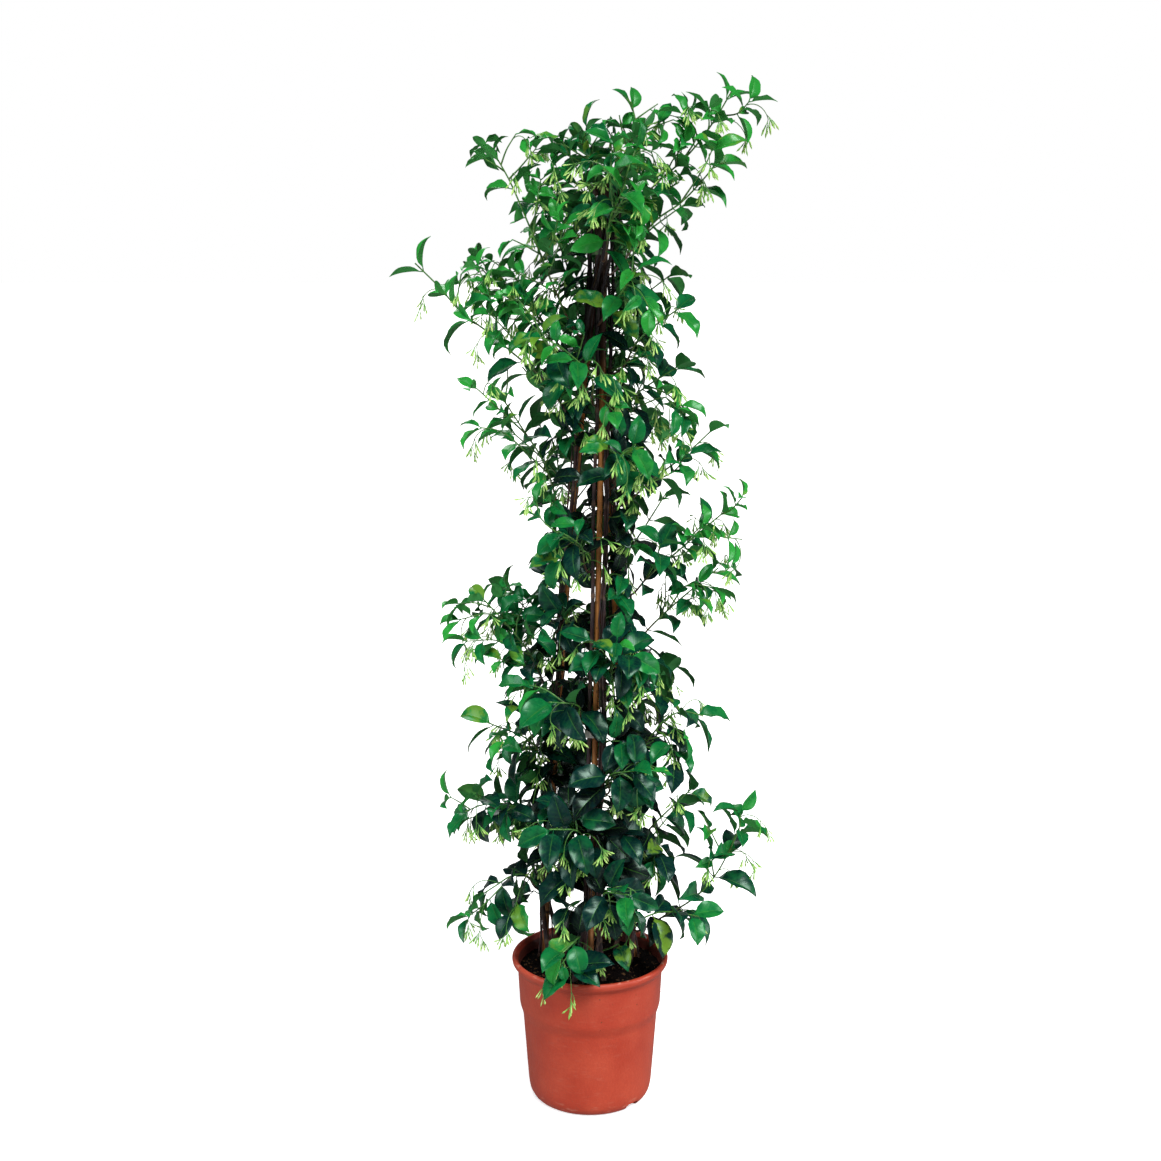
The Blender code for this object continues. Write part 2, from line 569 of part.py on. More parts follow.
def grow_leaves(shoot, route, space, draw):
    """Pairs of leaves up the stem, each pair a quarter turn from the last."""
    leaves = []
    first_turn = draw.uniform(0.0, math.pi)
    for k in range(shoot.pairs):
        index = len(route) - 1 - k
        # A little short of the stem's own joint, so that the leaf stalk meets one flat face of it
        place = route[index].lerp(route[index - 1], 0.35)
        if (place - route[0]).length < FIRST_PAIR:
            continue
        ahead = route[min(index + 1, len(route) - 1)] - route[index - 1]
        stem_way = ahead.normalized()
        size = shoot.leaf * LEAF_SIZES[min(k, 3)]
        spread = LEAF_SPREADS[min(k, 2)]
        for side in (0, 1):
            for attempt in range(LEAF_TRIES):
                loose = attempt / (LEAF_TRIES - 1.0)
                angle = first_turn + math.pi * (0.5 * k + side)
                angle += draw.uniform(-1.0, 1.0) * (0.25 + 0.9 * loose)
                opened = spread + draw.uniform(-0.2, 0.2) * (1.0 + loose)
                hang = shoot.hang * draw.uniform(0.5, 1.3)
                along = leaf_way(stem_way, angle, opened, hang)
                up = upper_side(along, place, draw.uniform(-LEAF_TWIST, LEAF_TWIST))
                bend = math.radians(draw.uniform(*LEAF_BENDS))
                length = size * draw.uniform(0.88, 1.14) * (1.0 - 0.22 * loose)
                leaf = Leaf(place + along * ROOT_SUNK, along, up, length, bend)
                if not space.free(leaf_mesh(leaf, False, CLEAR), shoot.name):
                    continue
                if not space.free(leaf_mesh(leaf, True, CLEAR), shoot.name, ("blade", "stem")):
                    continue
                space.add(leaf_mesh(leaf), shoot.name, "leaf")
                space.add(leaf_mesh(leaf, True), shoot.name, "blade")
                leaves.append(leaf)
                break
    return leaves


def grow_bunches(shoot, route, space, draw):
    """Slim arching stalks with a tassel of narrow buds, from the axils near the tip."""
    bunches = []
    for k in range(shoot.bunches):
        index = max(len(route) - 2 - k * 2, 2)
        place = route[index].lerp(route[index - 1], 0.15)
        stem_way = (route[index] - route[index - 1]).normalized()
        for _ in range(BUNCH_TRIES):
            angle = draw.uniform(0.0, 2.0 * math.pi)
            along = leaf_way(stem_way, angle, 0.9, -0.25)
            up = Vector((0.0, 0.0, 1.0)) - along * along.z
            length = draw.uniform(*PEDUNCLE_LENGTHS)
            buds = [draw.uniform(0.85, 1.15) for _ in range(BUNCH_SIDES)]
            if up.length < 0.25:
                continue
            base = place + along * ROOT_SUNK
            bunch = Bunch(base, along, up.normalized(), length, PEDUNCLE_BEND, buds)
            if not space.free(bunch_mesh(bunch, 0.0, CLEAR), shoot.name):
                continue
            if space.free(bunch_mesh(bunch, PEDUNCLE_BARE_FROM, CLEAR), shoot.name, ("blade", "stem")):
                space.add(bunch_mesh(bunch), shoot.name, "bunch")
                bunches.append(bunch)
                break
    return bunches


def grow_plant():
    """Every shoot's stem first, then its leaves and buds, each clear of what is there already."""
    space = keep_outs()
    draw = random.Random(SEED)
    grown = {}
    for shoot in SHOOTS:
        laid = lay_stem(shoot, space, draw)
        if laid is None:
            raise RuntimeError(f"no room for the stem {shoot.name}")
        grown[shoot.name] = {"shoot": shoot, "route": laid[0], "radii": laid[1], "vine": laid[2]}
    for shoot in SHOOTS:
        entry = grown[shoot.name]
        entry["leaves"] = grow_leaves(shoot, entry["route"], space, draw)
    for shoot in SHOOTS:
        entry = grown[shoot.name]
        entry["bunches"] = grow_bunches(shoot, entry["route"], space, draw)
    return grown


# Building blocks in Blender

def clear_scene():
    for ob in list(bpy.data.objects):
        bpy.data.objects.remove(ob, do_unlink=True)


def make_collection(name):
    collection = bpy.data.collections.new(name)
    bpy.context.scene.collection.children.link(collection)
    return collection


def make_material(name, colour, roughness):
    material = bpy.data.materials.new(name)
    material.use_nodes = True
    shader = material.node_tree.nodes["Principled BSDF"]
    shader.inputs["Base Color"].default_value = (*colour, 1.0)
    shader.inputs["Roughness"].default_value = roughness
    shader.inputs["Metallic"].default_value = 0.0
    return material


def object_from_mesh(name, mesh, collection, material=None):
    ob = bpy.data.objects.new(name, mesh)
    if material is not None:
        mesh.materials.clear()
        mesh.materials.append(material)
    collection.objects.link(ob)
    return ob


def object_from_lists(name, mesh_lists, collection, material=None):
    mesh = bpy.data.meshes.new(name)
    mesh.from_pydata([tuple(p) for p in mesh_lists[0]], [], mesh_lists[1])
    bm = bmesh.new()
    bm.from_mesh(mesh)
    bmesh.ops.recalc_face_normals(bm, faces=bm.faces[:])
    bm.to_mesh(mesh)
    bm.free()
    return object_from_mesh(name, mesh, collection, material)


def apply_modifiers(ob):
    """Keeps the evaluated mesh and drops the modifiers."""
    bpy.context.view_layer.update()
    graph = bpy.context.evaluated_depsgraph_get()
    mesh = bpy.data.meshes.new_from_object(ob.evaluated_get(graph))
    old = ob.data
    ob.modifiers.clear()
    ob.data = mesh
    bpy.data.meshes.remove(old)


def weld(ob):
    """Joins a tube's caps to its sides, all facing out."""
    bm = bmesh.new()
    bm.from_mesh(ob.data)
    bmesh.ops.remove_doubles(bm, verts=bm.verts[:], dist=WELD)
    bmesh.ops.recalc_face_normals(bm, faces=bm.faces[:])
    bm.to_mesh(ob.data)
    bm.free()


def three_sided_section(collection):
    """The cross-section of a fine stem, as a small curve that other curves are bevelled with."""
    curve = bpy.data.curves.new("stem_section", "CURVE")
    spline = curve.splines.new("POLY")
    spline.points.add(2)
    for k, point in enumerate(spline.points):
        angle = 2.0 * math.pi * k / 3.0
        point.co = (math.cos(angle) * 1.15, math.sin(angle) * 1.15, 0.0, 1.0)
    spline.use_cyclic_u = True
    section = bpy.data.objects.new("stem_section", curve)
    collection.objects.link(section)
    section.hide_render = True
    section.display_type = "WIRE"
    return section


def make_tube(name, route, radii, section, collection, material):
    """A tube along a route, as a bevelled curve turned into one closed mesh.

    section is a bevel resolution for a round tube, or the curve object of another cross-section.
    """
    curve = bpy.data.curves.new(name + "_route", "CURVE")
    curve.dimensions = "3D"
    curve.use_fill_caps = True
    if isinstance(section, int):
        curve.bevel_depth = 1.0
        curve.bevel_resolution = section
    else:
        curve.bevel_mode = "OBJECT"
        curve.bevel_object = section
    spline = curve.splines.new("POLY")
    spline.points.add(len(route) - 1)
    for point, place, radius in zip(spline.points, route, radii):
        point.co = (*place, 1.0)
        point.radius = radius
    line = bpy.data.objects.new(name + "_route", curve)
    collection.objects.link(line)
    bpy.context.view_layer.update()
    graph = bpy.context.evaluated_depsgraph_get()
    mesh = bpy.data.meshes.new_from_object(line.evaluated_get(graph))
    ob = object_from_mesh(name, mesh, collection, material)
    ob.matrix_world = line.matrix_world
    bpy.data.objects.remove(line, do_unlink=True)
    bpy.data.curves.remove(curve)
    weld(ob)
    return ob


def make_turned(name, profile, steps, collection, material):
    """A shape turned about Z from a profile in the XZ plane."""
    mesh = bpy.data.meshes.new(name)
    mesh.from_pydata([(r, 0.0, z) for r, z in profile], [(i, i + 1) for i in range(len(profile) - 1)], [])
    ob = object_from_mesh(name, mesh, collection, material)
    screw = ob.modifiers.new("Turn", "SCREW")
    screw.axis = "Z"
    screw.steps = steps
    screw.render_steps = steps
    screw.use_merge_vertices = True
    screw.merge_threshold = WELD
    apply_modifiers(ob)
    return ob


def cut(ob, cutters):
    """Takes every cutter in the collection out of ob."""
    boolean = ob.modifiers.new("Cut", "BOOLEAN")
    boolean.operation = "DIFFERENCE"
    boolean.operand_type = "COLLECTION"
    boolean.collection = cutters
    boolean.solver = "EXACT"
    apply_modifiers(ob)


def shade_round(ob, angle=35.0):
    ob.data.shade_smooth()
    ob.data.set_sharp_from_angle(angle=math.radians(angle))


def keep_main_body(ob):
    """Fills a hollow that fusing sealed and drops a loose scrap, by keeping only the largest shell."""
    bm = bmesh.new()
    bm.from_mesh(ob.data)
    bmesh.ops.triangulate(bm, faces=bm.faces[:])
    unseen = set(bm.verts)
    shells = []
    while unseen:
        shell = {unseen.pop()}
        edge_of_shell = list(shell)
        while edge_of_shell:
            vert = edge_of_shell.pop()
            for edge in vert.link_edges:
                other = edge.other_vert(vert)
                if other in unseen:
                    unseen.discard(other)
                    shell.add(other)
                    edge_of_shell.append(other)
        shells.append(shell)
    main = max(shells, key=len)
    spare = [v for shell in shells if shell is not main for v in shell]
    bmesh.ops.delete(bm, geom=spare, context="VERTS")
    bm.to_mesh(ob.data)
    bm.free()


def fuse(ob, extras, solver):
    """Joins every object of the extras collection to ob as one closed body."""
    union = ob.modifiers.new("Fuse", "BOOLEAN")
    union.operation = "UNION"
    union.operand_type = "COLLECTION"
    union.collection = extras
    union.solver = solver
    apply_modifiers(ob)


# The pieces

def make_pot(parts, cutters, material):
    lip_foot = POT_HEIGHT - LIP_HEIGHT
    profile = [
        (0.0, POT_FLOOR),
        (BASE_RADIUS - 0.0025, POT_FLOOR),
        (BODY_FOOT_RADIUS - POT_WALL - 0.0030, 0.0080),
        (BODY_FOOT_RADIUS - POT_WALL, BODY_FOOT_Z),
        (BODY_TOP_RADIUS - POT_WALL, COLLAR_FOOT_Z - 0.0010),
        (COLLAR_FOOT_RADIUS - POT_WALL, COLLAR_FOOT_Z + 0.0030),
        (COLLAR_TOP_RADIUS - POT_WALL, lip_foot + 0.0020),
        (LIP_RADIUS - 0.0058, POT_HEIGHT - 0.0014),
        (LIP_RADIUS - 0.0036, POT_HEIGHT),
        (LIP_RADIUS - 0.0012, POT_HEIGHT - 0.0008),
        (LIP_RADIUS, POT_HEIGHT - 0.0034),
        (LIP_RADIUS - 0.0004, lip_foot + 0.0006),
        (LIP_RADIUS - 0.0016, lip_foot),
        (COLLAR_TOP_RADIUS, lip_foot - 0.0006),
        (COLLAR_FOOT_RADIUS, COLLAR_FOOT_Z),
        (COLLAR_FOOT_RADIUS - 0.0008, COLLAR_FOOT_Z - 0.0012),
        (BODY_TOP_RADIUS, COLLAR_FOOT_Z - 0.0028),
        (BODY_FOOT_RADIUS, BODY_FOOT_Z),
        (BODY_FOOT_RADIUS - 0.0016, 0.0090),
        (BODY_FOOT_RADIUS - 0.0052, 0.0028),
        (BASE_RADIUS, 0.0),
        (0.0, 0.0),
    ]
    pot = make_turned("pot", profile, POT_STEPS, parts, material)
    for i, angle in enumerate(NOTCH_ANGLES):
        bpy.ops.mesh.primitive_cube_add(size=1.0)
        box = bpy.context.object
        box.name = f"notch_cutter_{i}"
        depth = 0.030
        middle = NOTCH_INNER_RADIUS + depth / 2.0
        turn = Matrix.Rotation(math.radians(angle), 4, "Z")
        size = Matrix.Diagonal((depth, NOTCH_WIDTH, NOTCH_HEIGHT * 2.0, 1.0))
        box.data.transform(turn @ Matrix.Translation((middle, 0.0, 0.0)) @ size)
        for owner in list(box.users_collection):
            owner.objects.unlink(box)
        cutters.objects.link(box)
        box.hide_render = True
        box.display_type = "WIRE"
    cut(pot, cutters)
    shade_round(pot)
    return pot


def soil_height(x, y):
    """A low uneven mound."""
    edge = math.hypot(x, y) / 0.085
    bumps = math.sin(x * 120.0 + 0.6) * math.cos(y * 95.0 - 0.4) + 0.6 * math.sin((x - y) * 210.0)
    return SOIL_TOP + SOIL_MOUND * 0.6 * (1.0 - edge * edge) + 0.0011 * bumps * (1.0 - edge ** 6)


def make_soil(parts, cutters, material):
    """Fills the pot to just under the collar's top, with a plain hole for each cane and vine."""
    gap = POT_WALL + HOLE_GAP
    top_radius = lerp(COLLAR_FOOT_RADIUS, COLLAR_TOP_RADIUS, 0.86) - gap
    profile = [(top_radius * share, SOIL_TOP) for share in (0.0, 0.26, 0.50, 0.72, 0.90, 1.0)]
    profile += [
        (COLLAR_FOOT_RADIUS - gap, COLLAR_FOOT_Z + 0.0036),
        (BODY_TOP_RADIUS - gap, COLLAR_FOOT_Z - 0.0012),
        (BODY_FOOT_RADIUS - gap, BODY_FOOT_Z + 0.0002),
        (BODY_FOOT_RADIUS - gap - 0.0031, 0.0084),
        (BASE_RADIUS - 0.0031, POT_FLOOR + GAP),
        (0.0, POT_FLOOR + GAP),
    ]
    soil = make_turned("soil", profile, SOIL_STEPS, parts, material)
    for vert in soil.data.vertices:
        if vert.co.z > SOIL_TOP - 0.0005:
            vert.co.z = soil_height(vert.co.x, vert.co.y)
    holes = []
    for cane in CANES:
        foot = cane_at(cane, CANE_FOOT_Z - HOLE_GAP)
        top = cane_at(cane, SOIL_TOP + 0.0250)
        holes.append(([foot, cane_at(cane, SOIL_TOP), top], (CANE_RADIUS + HOLE_GAP) * 1.06))
    for name in VINES:
        foot = vine_at(name, SOIL_TOP)
        bottom = foot - Vector((0.0, 0.0, VINE_ROOT_DEPTH + HOLE_GAP))
        top = foot + Vector((0.0, 0.0, 0.0250))
        holes.append(([bottom, top], (VINE_FOOT_RADIUS + HOLE_GAP) * 1.16))
    for i, (route, radius) in enumerate(holes):
        hole = make_tube(f"hole_cutter_{i}", route, [radius] * len(route), 1, cutters, None)
        hole.hide_render = True
        hole.display_type = "WIRE"
    cut(soil, cutters)
    return soil


def make_canes(parts, material):
    for cane in CANES:
        route = cane_route(cane)
        shade_round(make_tube("cane_" + cane, route, [CANE_RADIUS] * len(route), 1, parts, material), 60.0)


def make_vines(parts, material):
    for name in VINES:
        route = vine_route(name)
        radii = [vine_radius(p.z) for p in route]
        shade_round(make_tube(name, route, radii, 1, parts, material), 70.0)


def make_band(name, outline, middle, lean, height, thickness, parts, material):
    """A flat strip bent round an outline, standing across lean."""
    bm = bmesh.new()
    low = [bm.verts.new((p.x, p.y, -height / 2.0)) for p in outline]
    high = [bm.verts.new((p.x, p.y, height / 2.0)) for p in outline]
    count = len(outline)
    for i in range(count):
        k = (i + 1) % count
        bm.faces.new((low[i], low[k], high[k], high[i]))
    mesh = bpy.data.meshes.new(name)
    bm.to_mesh(mesh)
    bm.free()
    turn = lean.to_track_quat("Z", "Y").to_matrix().to_4x4()
    spin = Matrix.Rotation(-turn.to_euler("XYZ").z, 4, "Z")
    mesh.transform(Matrix.Translation(middle) @ turn @ spin)
    ob = object_from_mesh(name, mesh, parts, material)
    solid = ob.modifiers.new("Thickness", "SOLIDIFY")
    solid.thickness = thickness
    solid.offset = 1.0
    solid.use_even_offset = True
    apply_modifiers(ob)
    return ob


def make_tie(parts, material):
    thickness, height = TIE_BAND
    radius = TIE_OFFSET + CANE_RADIUS + 0.0004
    outline = []
    for i in range(TIE_SIDES):
        angle = 2.0 * math.pi * i / TIE_SIDES
        outline.append(Vector((math.cos(angle), math.sin(angle))) * radius / math.cos(math.pi / TIE_SIDES))
    middle = Vector((TIE_CENTRE.x, TIE_CENTRE.y, TIE_Z))
    make_band("cane_tie", outline, middle, Vector((0.0, 0.0, 1.0)), height, thickness, parts, material)


def make_clip(parts, material):
    """A flat clip round the front cane and the vine beside it."""
    thickness, height = CLIP_BAND
    cane = cane_at("front", CLIP_Z)
    vine = vine_place(CLIPPED_VINE, CLIP_Z)
    apart = (vine - cane).to_2d()
    facing = math.atan2(apart.y, apart.x)
    half = CANE_RADIUS + 0.0005
    centre = cane.lerp(vine, 0.5)
    reach = apart.length / 2.0
    outline = []
    for i in range(16):
        # Half a turn round the vine's end, then half a turn round the cane's
        step = (i if i < 8 else i - 8) / 7.0
        end = 1.0 if i < 8 else -1.0
        angle = facing - math.pi / 2.0 + math.pi * step + (0.0 if i < 8 else math.pi)
        mid = Vector((math.cos(facing), math.sin(facing))) * reach * end
        outline.append(mid + Vector((math.cos(angle), math.sin(angle))) * half * 1.02)
    lean = (cane_at("front", CLIP_Z + 0.05) - cane_at("front", CLIP_Z - 0.05)).normalized()
    make_band("plant_clip", outline, centre, lean, height, thickness, parts, material)


def make_shoot(entry, section, parts, material):
    """One leafy side shoot: its stem with every leaf and bunch of buds fused on."""
    shoot = entry["shoot"]
    stem = make_tube("shoot_" + shoot.name, entry["route"], entry["radii"], section, parts, material)
    extras = make_collection("extras_" + shoot.name)
    for i, leaf in enumerate(entry["leaves"]):
        object_from_lists(f"leaf_{i}", leaf_mesh(leaf), extras)
    for i, bunch in enumerate(entry["bunches"]):
        object_from_lists(f"bunch_{i}", bunch_mesh(bunch), extras)
    # EXACT loses whole leaves here, because several meet near one point of the stem
    fuse(stem, extras, "MANIFOLD")
    for ob in list(extras.objects):
        bpy.data.objects.remove(ob, do_unlink=True)
    bpy.data.collections.remove(extras)
    keep_main_body(stem)
    stem.data.materials.clear()
    stem.data.materials.append(material)
    return stem


def main():
    clear_scene()
    parts = make_collection("potted_star_jasmine")
    pot_cutters = make_collection("cutters_pot")
    soil_cutters = make_collection("cutters_soil")
    make_pot(parts, pot_cutters, make_material("terracotta_plastic", (0.50, 0.075, 0.038), 0.50))
    make_soil(parts, soil_cutters, make_material("dark_compost", (0.012, 0.009, 0.007), 0.95))
    make_canes(parts, make_material("bamboo", (0.33, 0.14, 0.045), 0.60))
    make_vines(parts, make_material("brown_bark", (0.065, 0.025, 0.020), 0.80))
    make_tie(parts, make_material("tie_green", (0.05, 0.10, 0.04), 0.60))
    make_clip(parts, make_material("clip_pale", (0.45, 0.47, 0.42), 0.45))
    green = make_material("leaf_green", (0.025, 0.130, 0.035), 0.40)
    section = three_sided_section(make_collection("sections"))
    for entry in grow_plant().values():
        make_shoot(entry, section, parts, green)


main()
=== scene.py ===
"""The looks of the potted star jasmine: fine leaves, buds, bark, bamboo, compost and nursery pot.

Metres, +Z up, +Y away from the front. The origin is the centre of the pot's underside.
"""

import json
import math
import random
from collections import namedtuple
from itertools import product

import bmesh
import bpy
from mathutils import Matrix, Vector
from mathutils.bvhtree import BVHTree

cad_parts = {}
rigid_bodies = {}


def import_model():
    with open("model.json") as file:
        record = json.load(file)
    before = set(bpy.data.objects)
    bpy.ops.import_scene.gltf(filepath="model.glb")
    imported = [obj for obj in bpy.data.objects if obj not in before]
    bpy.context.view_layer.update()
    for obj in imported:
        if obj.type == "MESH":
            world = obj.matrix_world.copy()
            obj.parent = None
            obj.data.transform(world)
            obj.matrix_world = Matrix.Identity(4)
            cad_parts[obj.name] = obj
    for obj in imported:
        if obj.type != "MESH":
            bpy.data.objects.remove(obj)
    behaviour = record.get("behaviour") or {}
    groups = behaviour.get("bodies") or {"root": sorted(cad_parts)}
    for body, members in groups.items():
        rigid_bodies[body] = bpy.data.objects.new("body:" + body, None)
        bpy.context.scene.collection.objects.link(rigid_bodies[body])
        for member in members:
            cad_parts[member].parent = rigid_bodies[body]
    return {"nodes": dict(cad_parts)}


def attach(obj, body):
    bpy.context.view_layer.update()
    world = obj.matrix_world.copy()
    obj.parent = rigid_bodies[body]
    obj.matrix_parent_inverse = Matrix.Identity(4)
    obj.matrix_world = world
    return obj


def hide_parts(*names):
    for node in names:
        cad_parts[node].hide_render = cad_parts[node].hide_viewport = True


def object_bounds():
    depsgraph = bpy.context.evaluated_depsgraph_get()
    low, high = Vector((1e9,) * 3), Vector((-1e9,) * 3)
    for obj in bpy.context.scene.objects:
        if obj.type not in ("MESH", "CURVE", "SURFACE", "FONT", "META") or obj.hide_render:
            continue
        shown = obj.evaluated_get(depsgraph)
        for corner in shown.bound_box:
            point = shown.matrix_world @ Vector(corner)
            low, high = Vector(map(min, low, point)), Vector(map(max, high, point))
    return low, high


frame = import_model()
CAD_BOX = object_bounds()

# Gaps between neighbours that touch on the real plant
GAP = 0.0003
HOLE_GAP = 0.0004
WELD = 0.00001
CLEAR = 0.0004

# Pot
POT_HEIGHT = 0.180
POT_WALL = 0.0015
POT_FLOOR = 0.0020
LIP_RADIUS = 0.0950
LIP_HEIGHT = 0.0105
COLLAR_TOP_RADIUS = 0.0880
COLLAR_FOOT_RADIUS = 0.0856
COLLAR_FOOT_Z = 0.1155
BODY_TOP_RADIUS = 0.0818
BODY_FOOT_RADIUS = 0.0752
BODY_FOOT_Z = 0.0180
BASE_RADIUS = 0.0650
NOTCH_ANGLES = (-44.0, -164.0, 76.0)
NOTCH_WIDTH = 0.020
NOTCH_HEIGHT = 0.0090
NOTCH_INNER_RADIUS = 0.0610

# Soil
SOIL_TOP = 0.1620
SOIL_MOUND = 0.0040

# Canes of the tripod: where each stands in the soil, and how far it bows out half-way
CANE_RADIUS = 0.0037
CANE_FOOT_Z = 0.0650
CANE_OVER_TIE = 0.0750
CANE_POINTS = 8
CANES = {
    "left": (Vector((-0.0560, 0.0300)), 0.0080),
    "front": (Vector((0.0000, -0.0620)), 0.0010),
    "right": (Vector((0.0550, 0.0300)), -0.0020),
}
TIE_CENTRE = Vector((0.0120, 0.0000))
TIE_Z = 1.0200
TIE_OFFSET = 0.0049
CLIP_Z = 0.4700
CLIPPED_VINE = "vine_front_left"
CLIP_DETOUR = 0.0035

# Old stems that climb the canes
VINE_FOOT_RADIUS = 0.0030
VINE_TOP_RADIUS = 0.0018
VINE_REACH_LOW = 0.0072
VINE_REACH_HIGH = 0.0112
VINE_ROOT_REACH = 0.0240
VINE_ROOT_TURN = 146.0
VINE_ROOT_DEPTH = 0.0300
VINE_POINTS = 16
VINE_ROOT_RISE = 0.0080
VINE_ROOT_LEAN = 0.0900
VINE_TOP_BARE = 0.0040
SWING_PITCH = 0.2300
SWING_TURN = 16.0
VINE_SIDE_TURN = 76.0
VINE_TOP_TURN = 56.0
# Heights over which the vines draw together round the canes and stand further off them
CLOSING_UP = (0.86, 0.98)
STANDING_OFF = (0.84, 0.98)
# Distances from the clip over which the vine beside it swings back
CLIP_EASE = (0.03, 0.13)
# Each one: its cane, the side of it, where its swing starts, its top height
Vine = namedtuple("Vine", "cane side phase top")
VINES = {
    "vine_left_outer": Vine("left", 1, 0.00, 1.075),
    "vine_left_inner": Vine("left", -1, 0.35, 1.050),
    "vine_front_left": Vine("front", -1, 0.60, 1.085),
    "vine_front_right": Vine("front", 1, 0.20, 1.060),
    "vine_right_outer": Vine("right", -1, 0.50, 1.080),
    "vine_right_inner": Vine("right", 1, 0.85, 1.045),
}

# Leaves, stems and buds of the CAD model
STEM_ROOT_RADIUS = 0.0013
STEM_TIP_RADIUS = 0.0008
LEAF_HALF_WIDTH = 0.265
LEAF_KEEL = 0.0014
LEAF_SIZES = (0.98, 1.08, 1.14, 1.16)
LEAF_SPREADS = (0.65, 0.95, 1.10)
LEAF_TWIST = 28.0
LEAF_FACES_OUT = 0.85
ROOT_SUNK = 0.0002
PETIOLE_HALF = 0.0008
FIRST_PAIR = 0.024
ROOT_TRIES = 12
ROOT_STEP = 0.0001
ROOT_STRAIGHT = 0.005
ROOT_REACH = 0.010
ROOT_LIFT = Vector((0.0, 0.0, 0.001))
STEM_TRIES = 60
STEM_SHAKE = 0.0012
BUNCH_TRIES = 24
BUNCH_OPENS = 0.9
BUNCH_LIFTS = -0.25
PEDUNCLE_RADIUS = 0.0007
PEDUNCLE_LENGTHS = (0.036, 0.050)
PEDUNCLE_BEND = math.radians(95.0)
PEDUNCLE_BARE_FROM = 0.16
BUD_RADIUS = 0.0014
BUD_LENGTH = 0.0140
BUD_SIZES = (0.85, 1.15)
BUD_BELLY = 0.55
BUD_FOLLOWS = 0.80
BUD_SPREADS = 0.45
BUD_HANGS = Vector((0.0, 0.0, -0.35))
BUD_MIDDLE = 0.0008
# A stalk whose upper side is shorter than this points too nearly straight up or down
STEEPEST = 0.25
LEAF_STEEPEST = 0.20
# Where leaf and bud stalks leave the stem, as a share of the way down from its joint
LEAF_BELOW_JOINT = 0.35
BUNCH_BELOW_JOINT = 0.15
# What each try adds to a leaf's swing, and how much its opening varies
LOOSE_SWING = 0.9
SPREAD_SHAKE = 0.2
SEED = 2
# How a pair of leaves looks for room, with bends in degrees and lengths as shares of the wanted one
Habit = namedtuple("Habit", "tries swing widen hangs bends lengths shrink sunk")
SHOOT_HABIT = Habit(14, 0.25, 1.0, (0.5, 1.3), (18.0, 62.0), (0.88, 1.14), 0.22, ROOT_SUNK)
TWIG_HABIT = Habit(10, 0.30, 0.0, (0.4, 1.3), (8.0, 50.0), (0.84, 1.12), 0.25, 0.0)

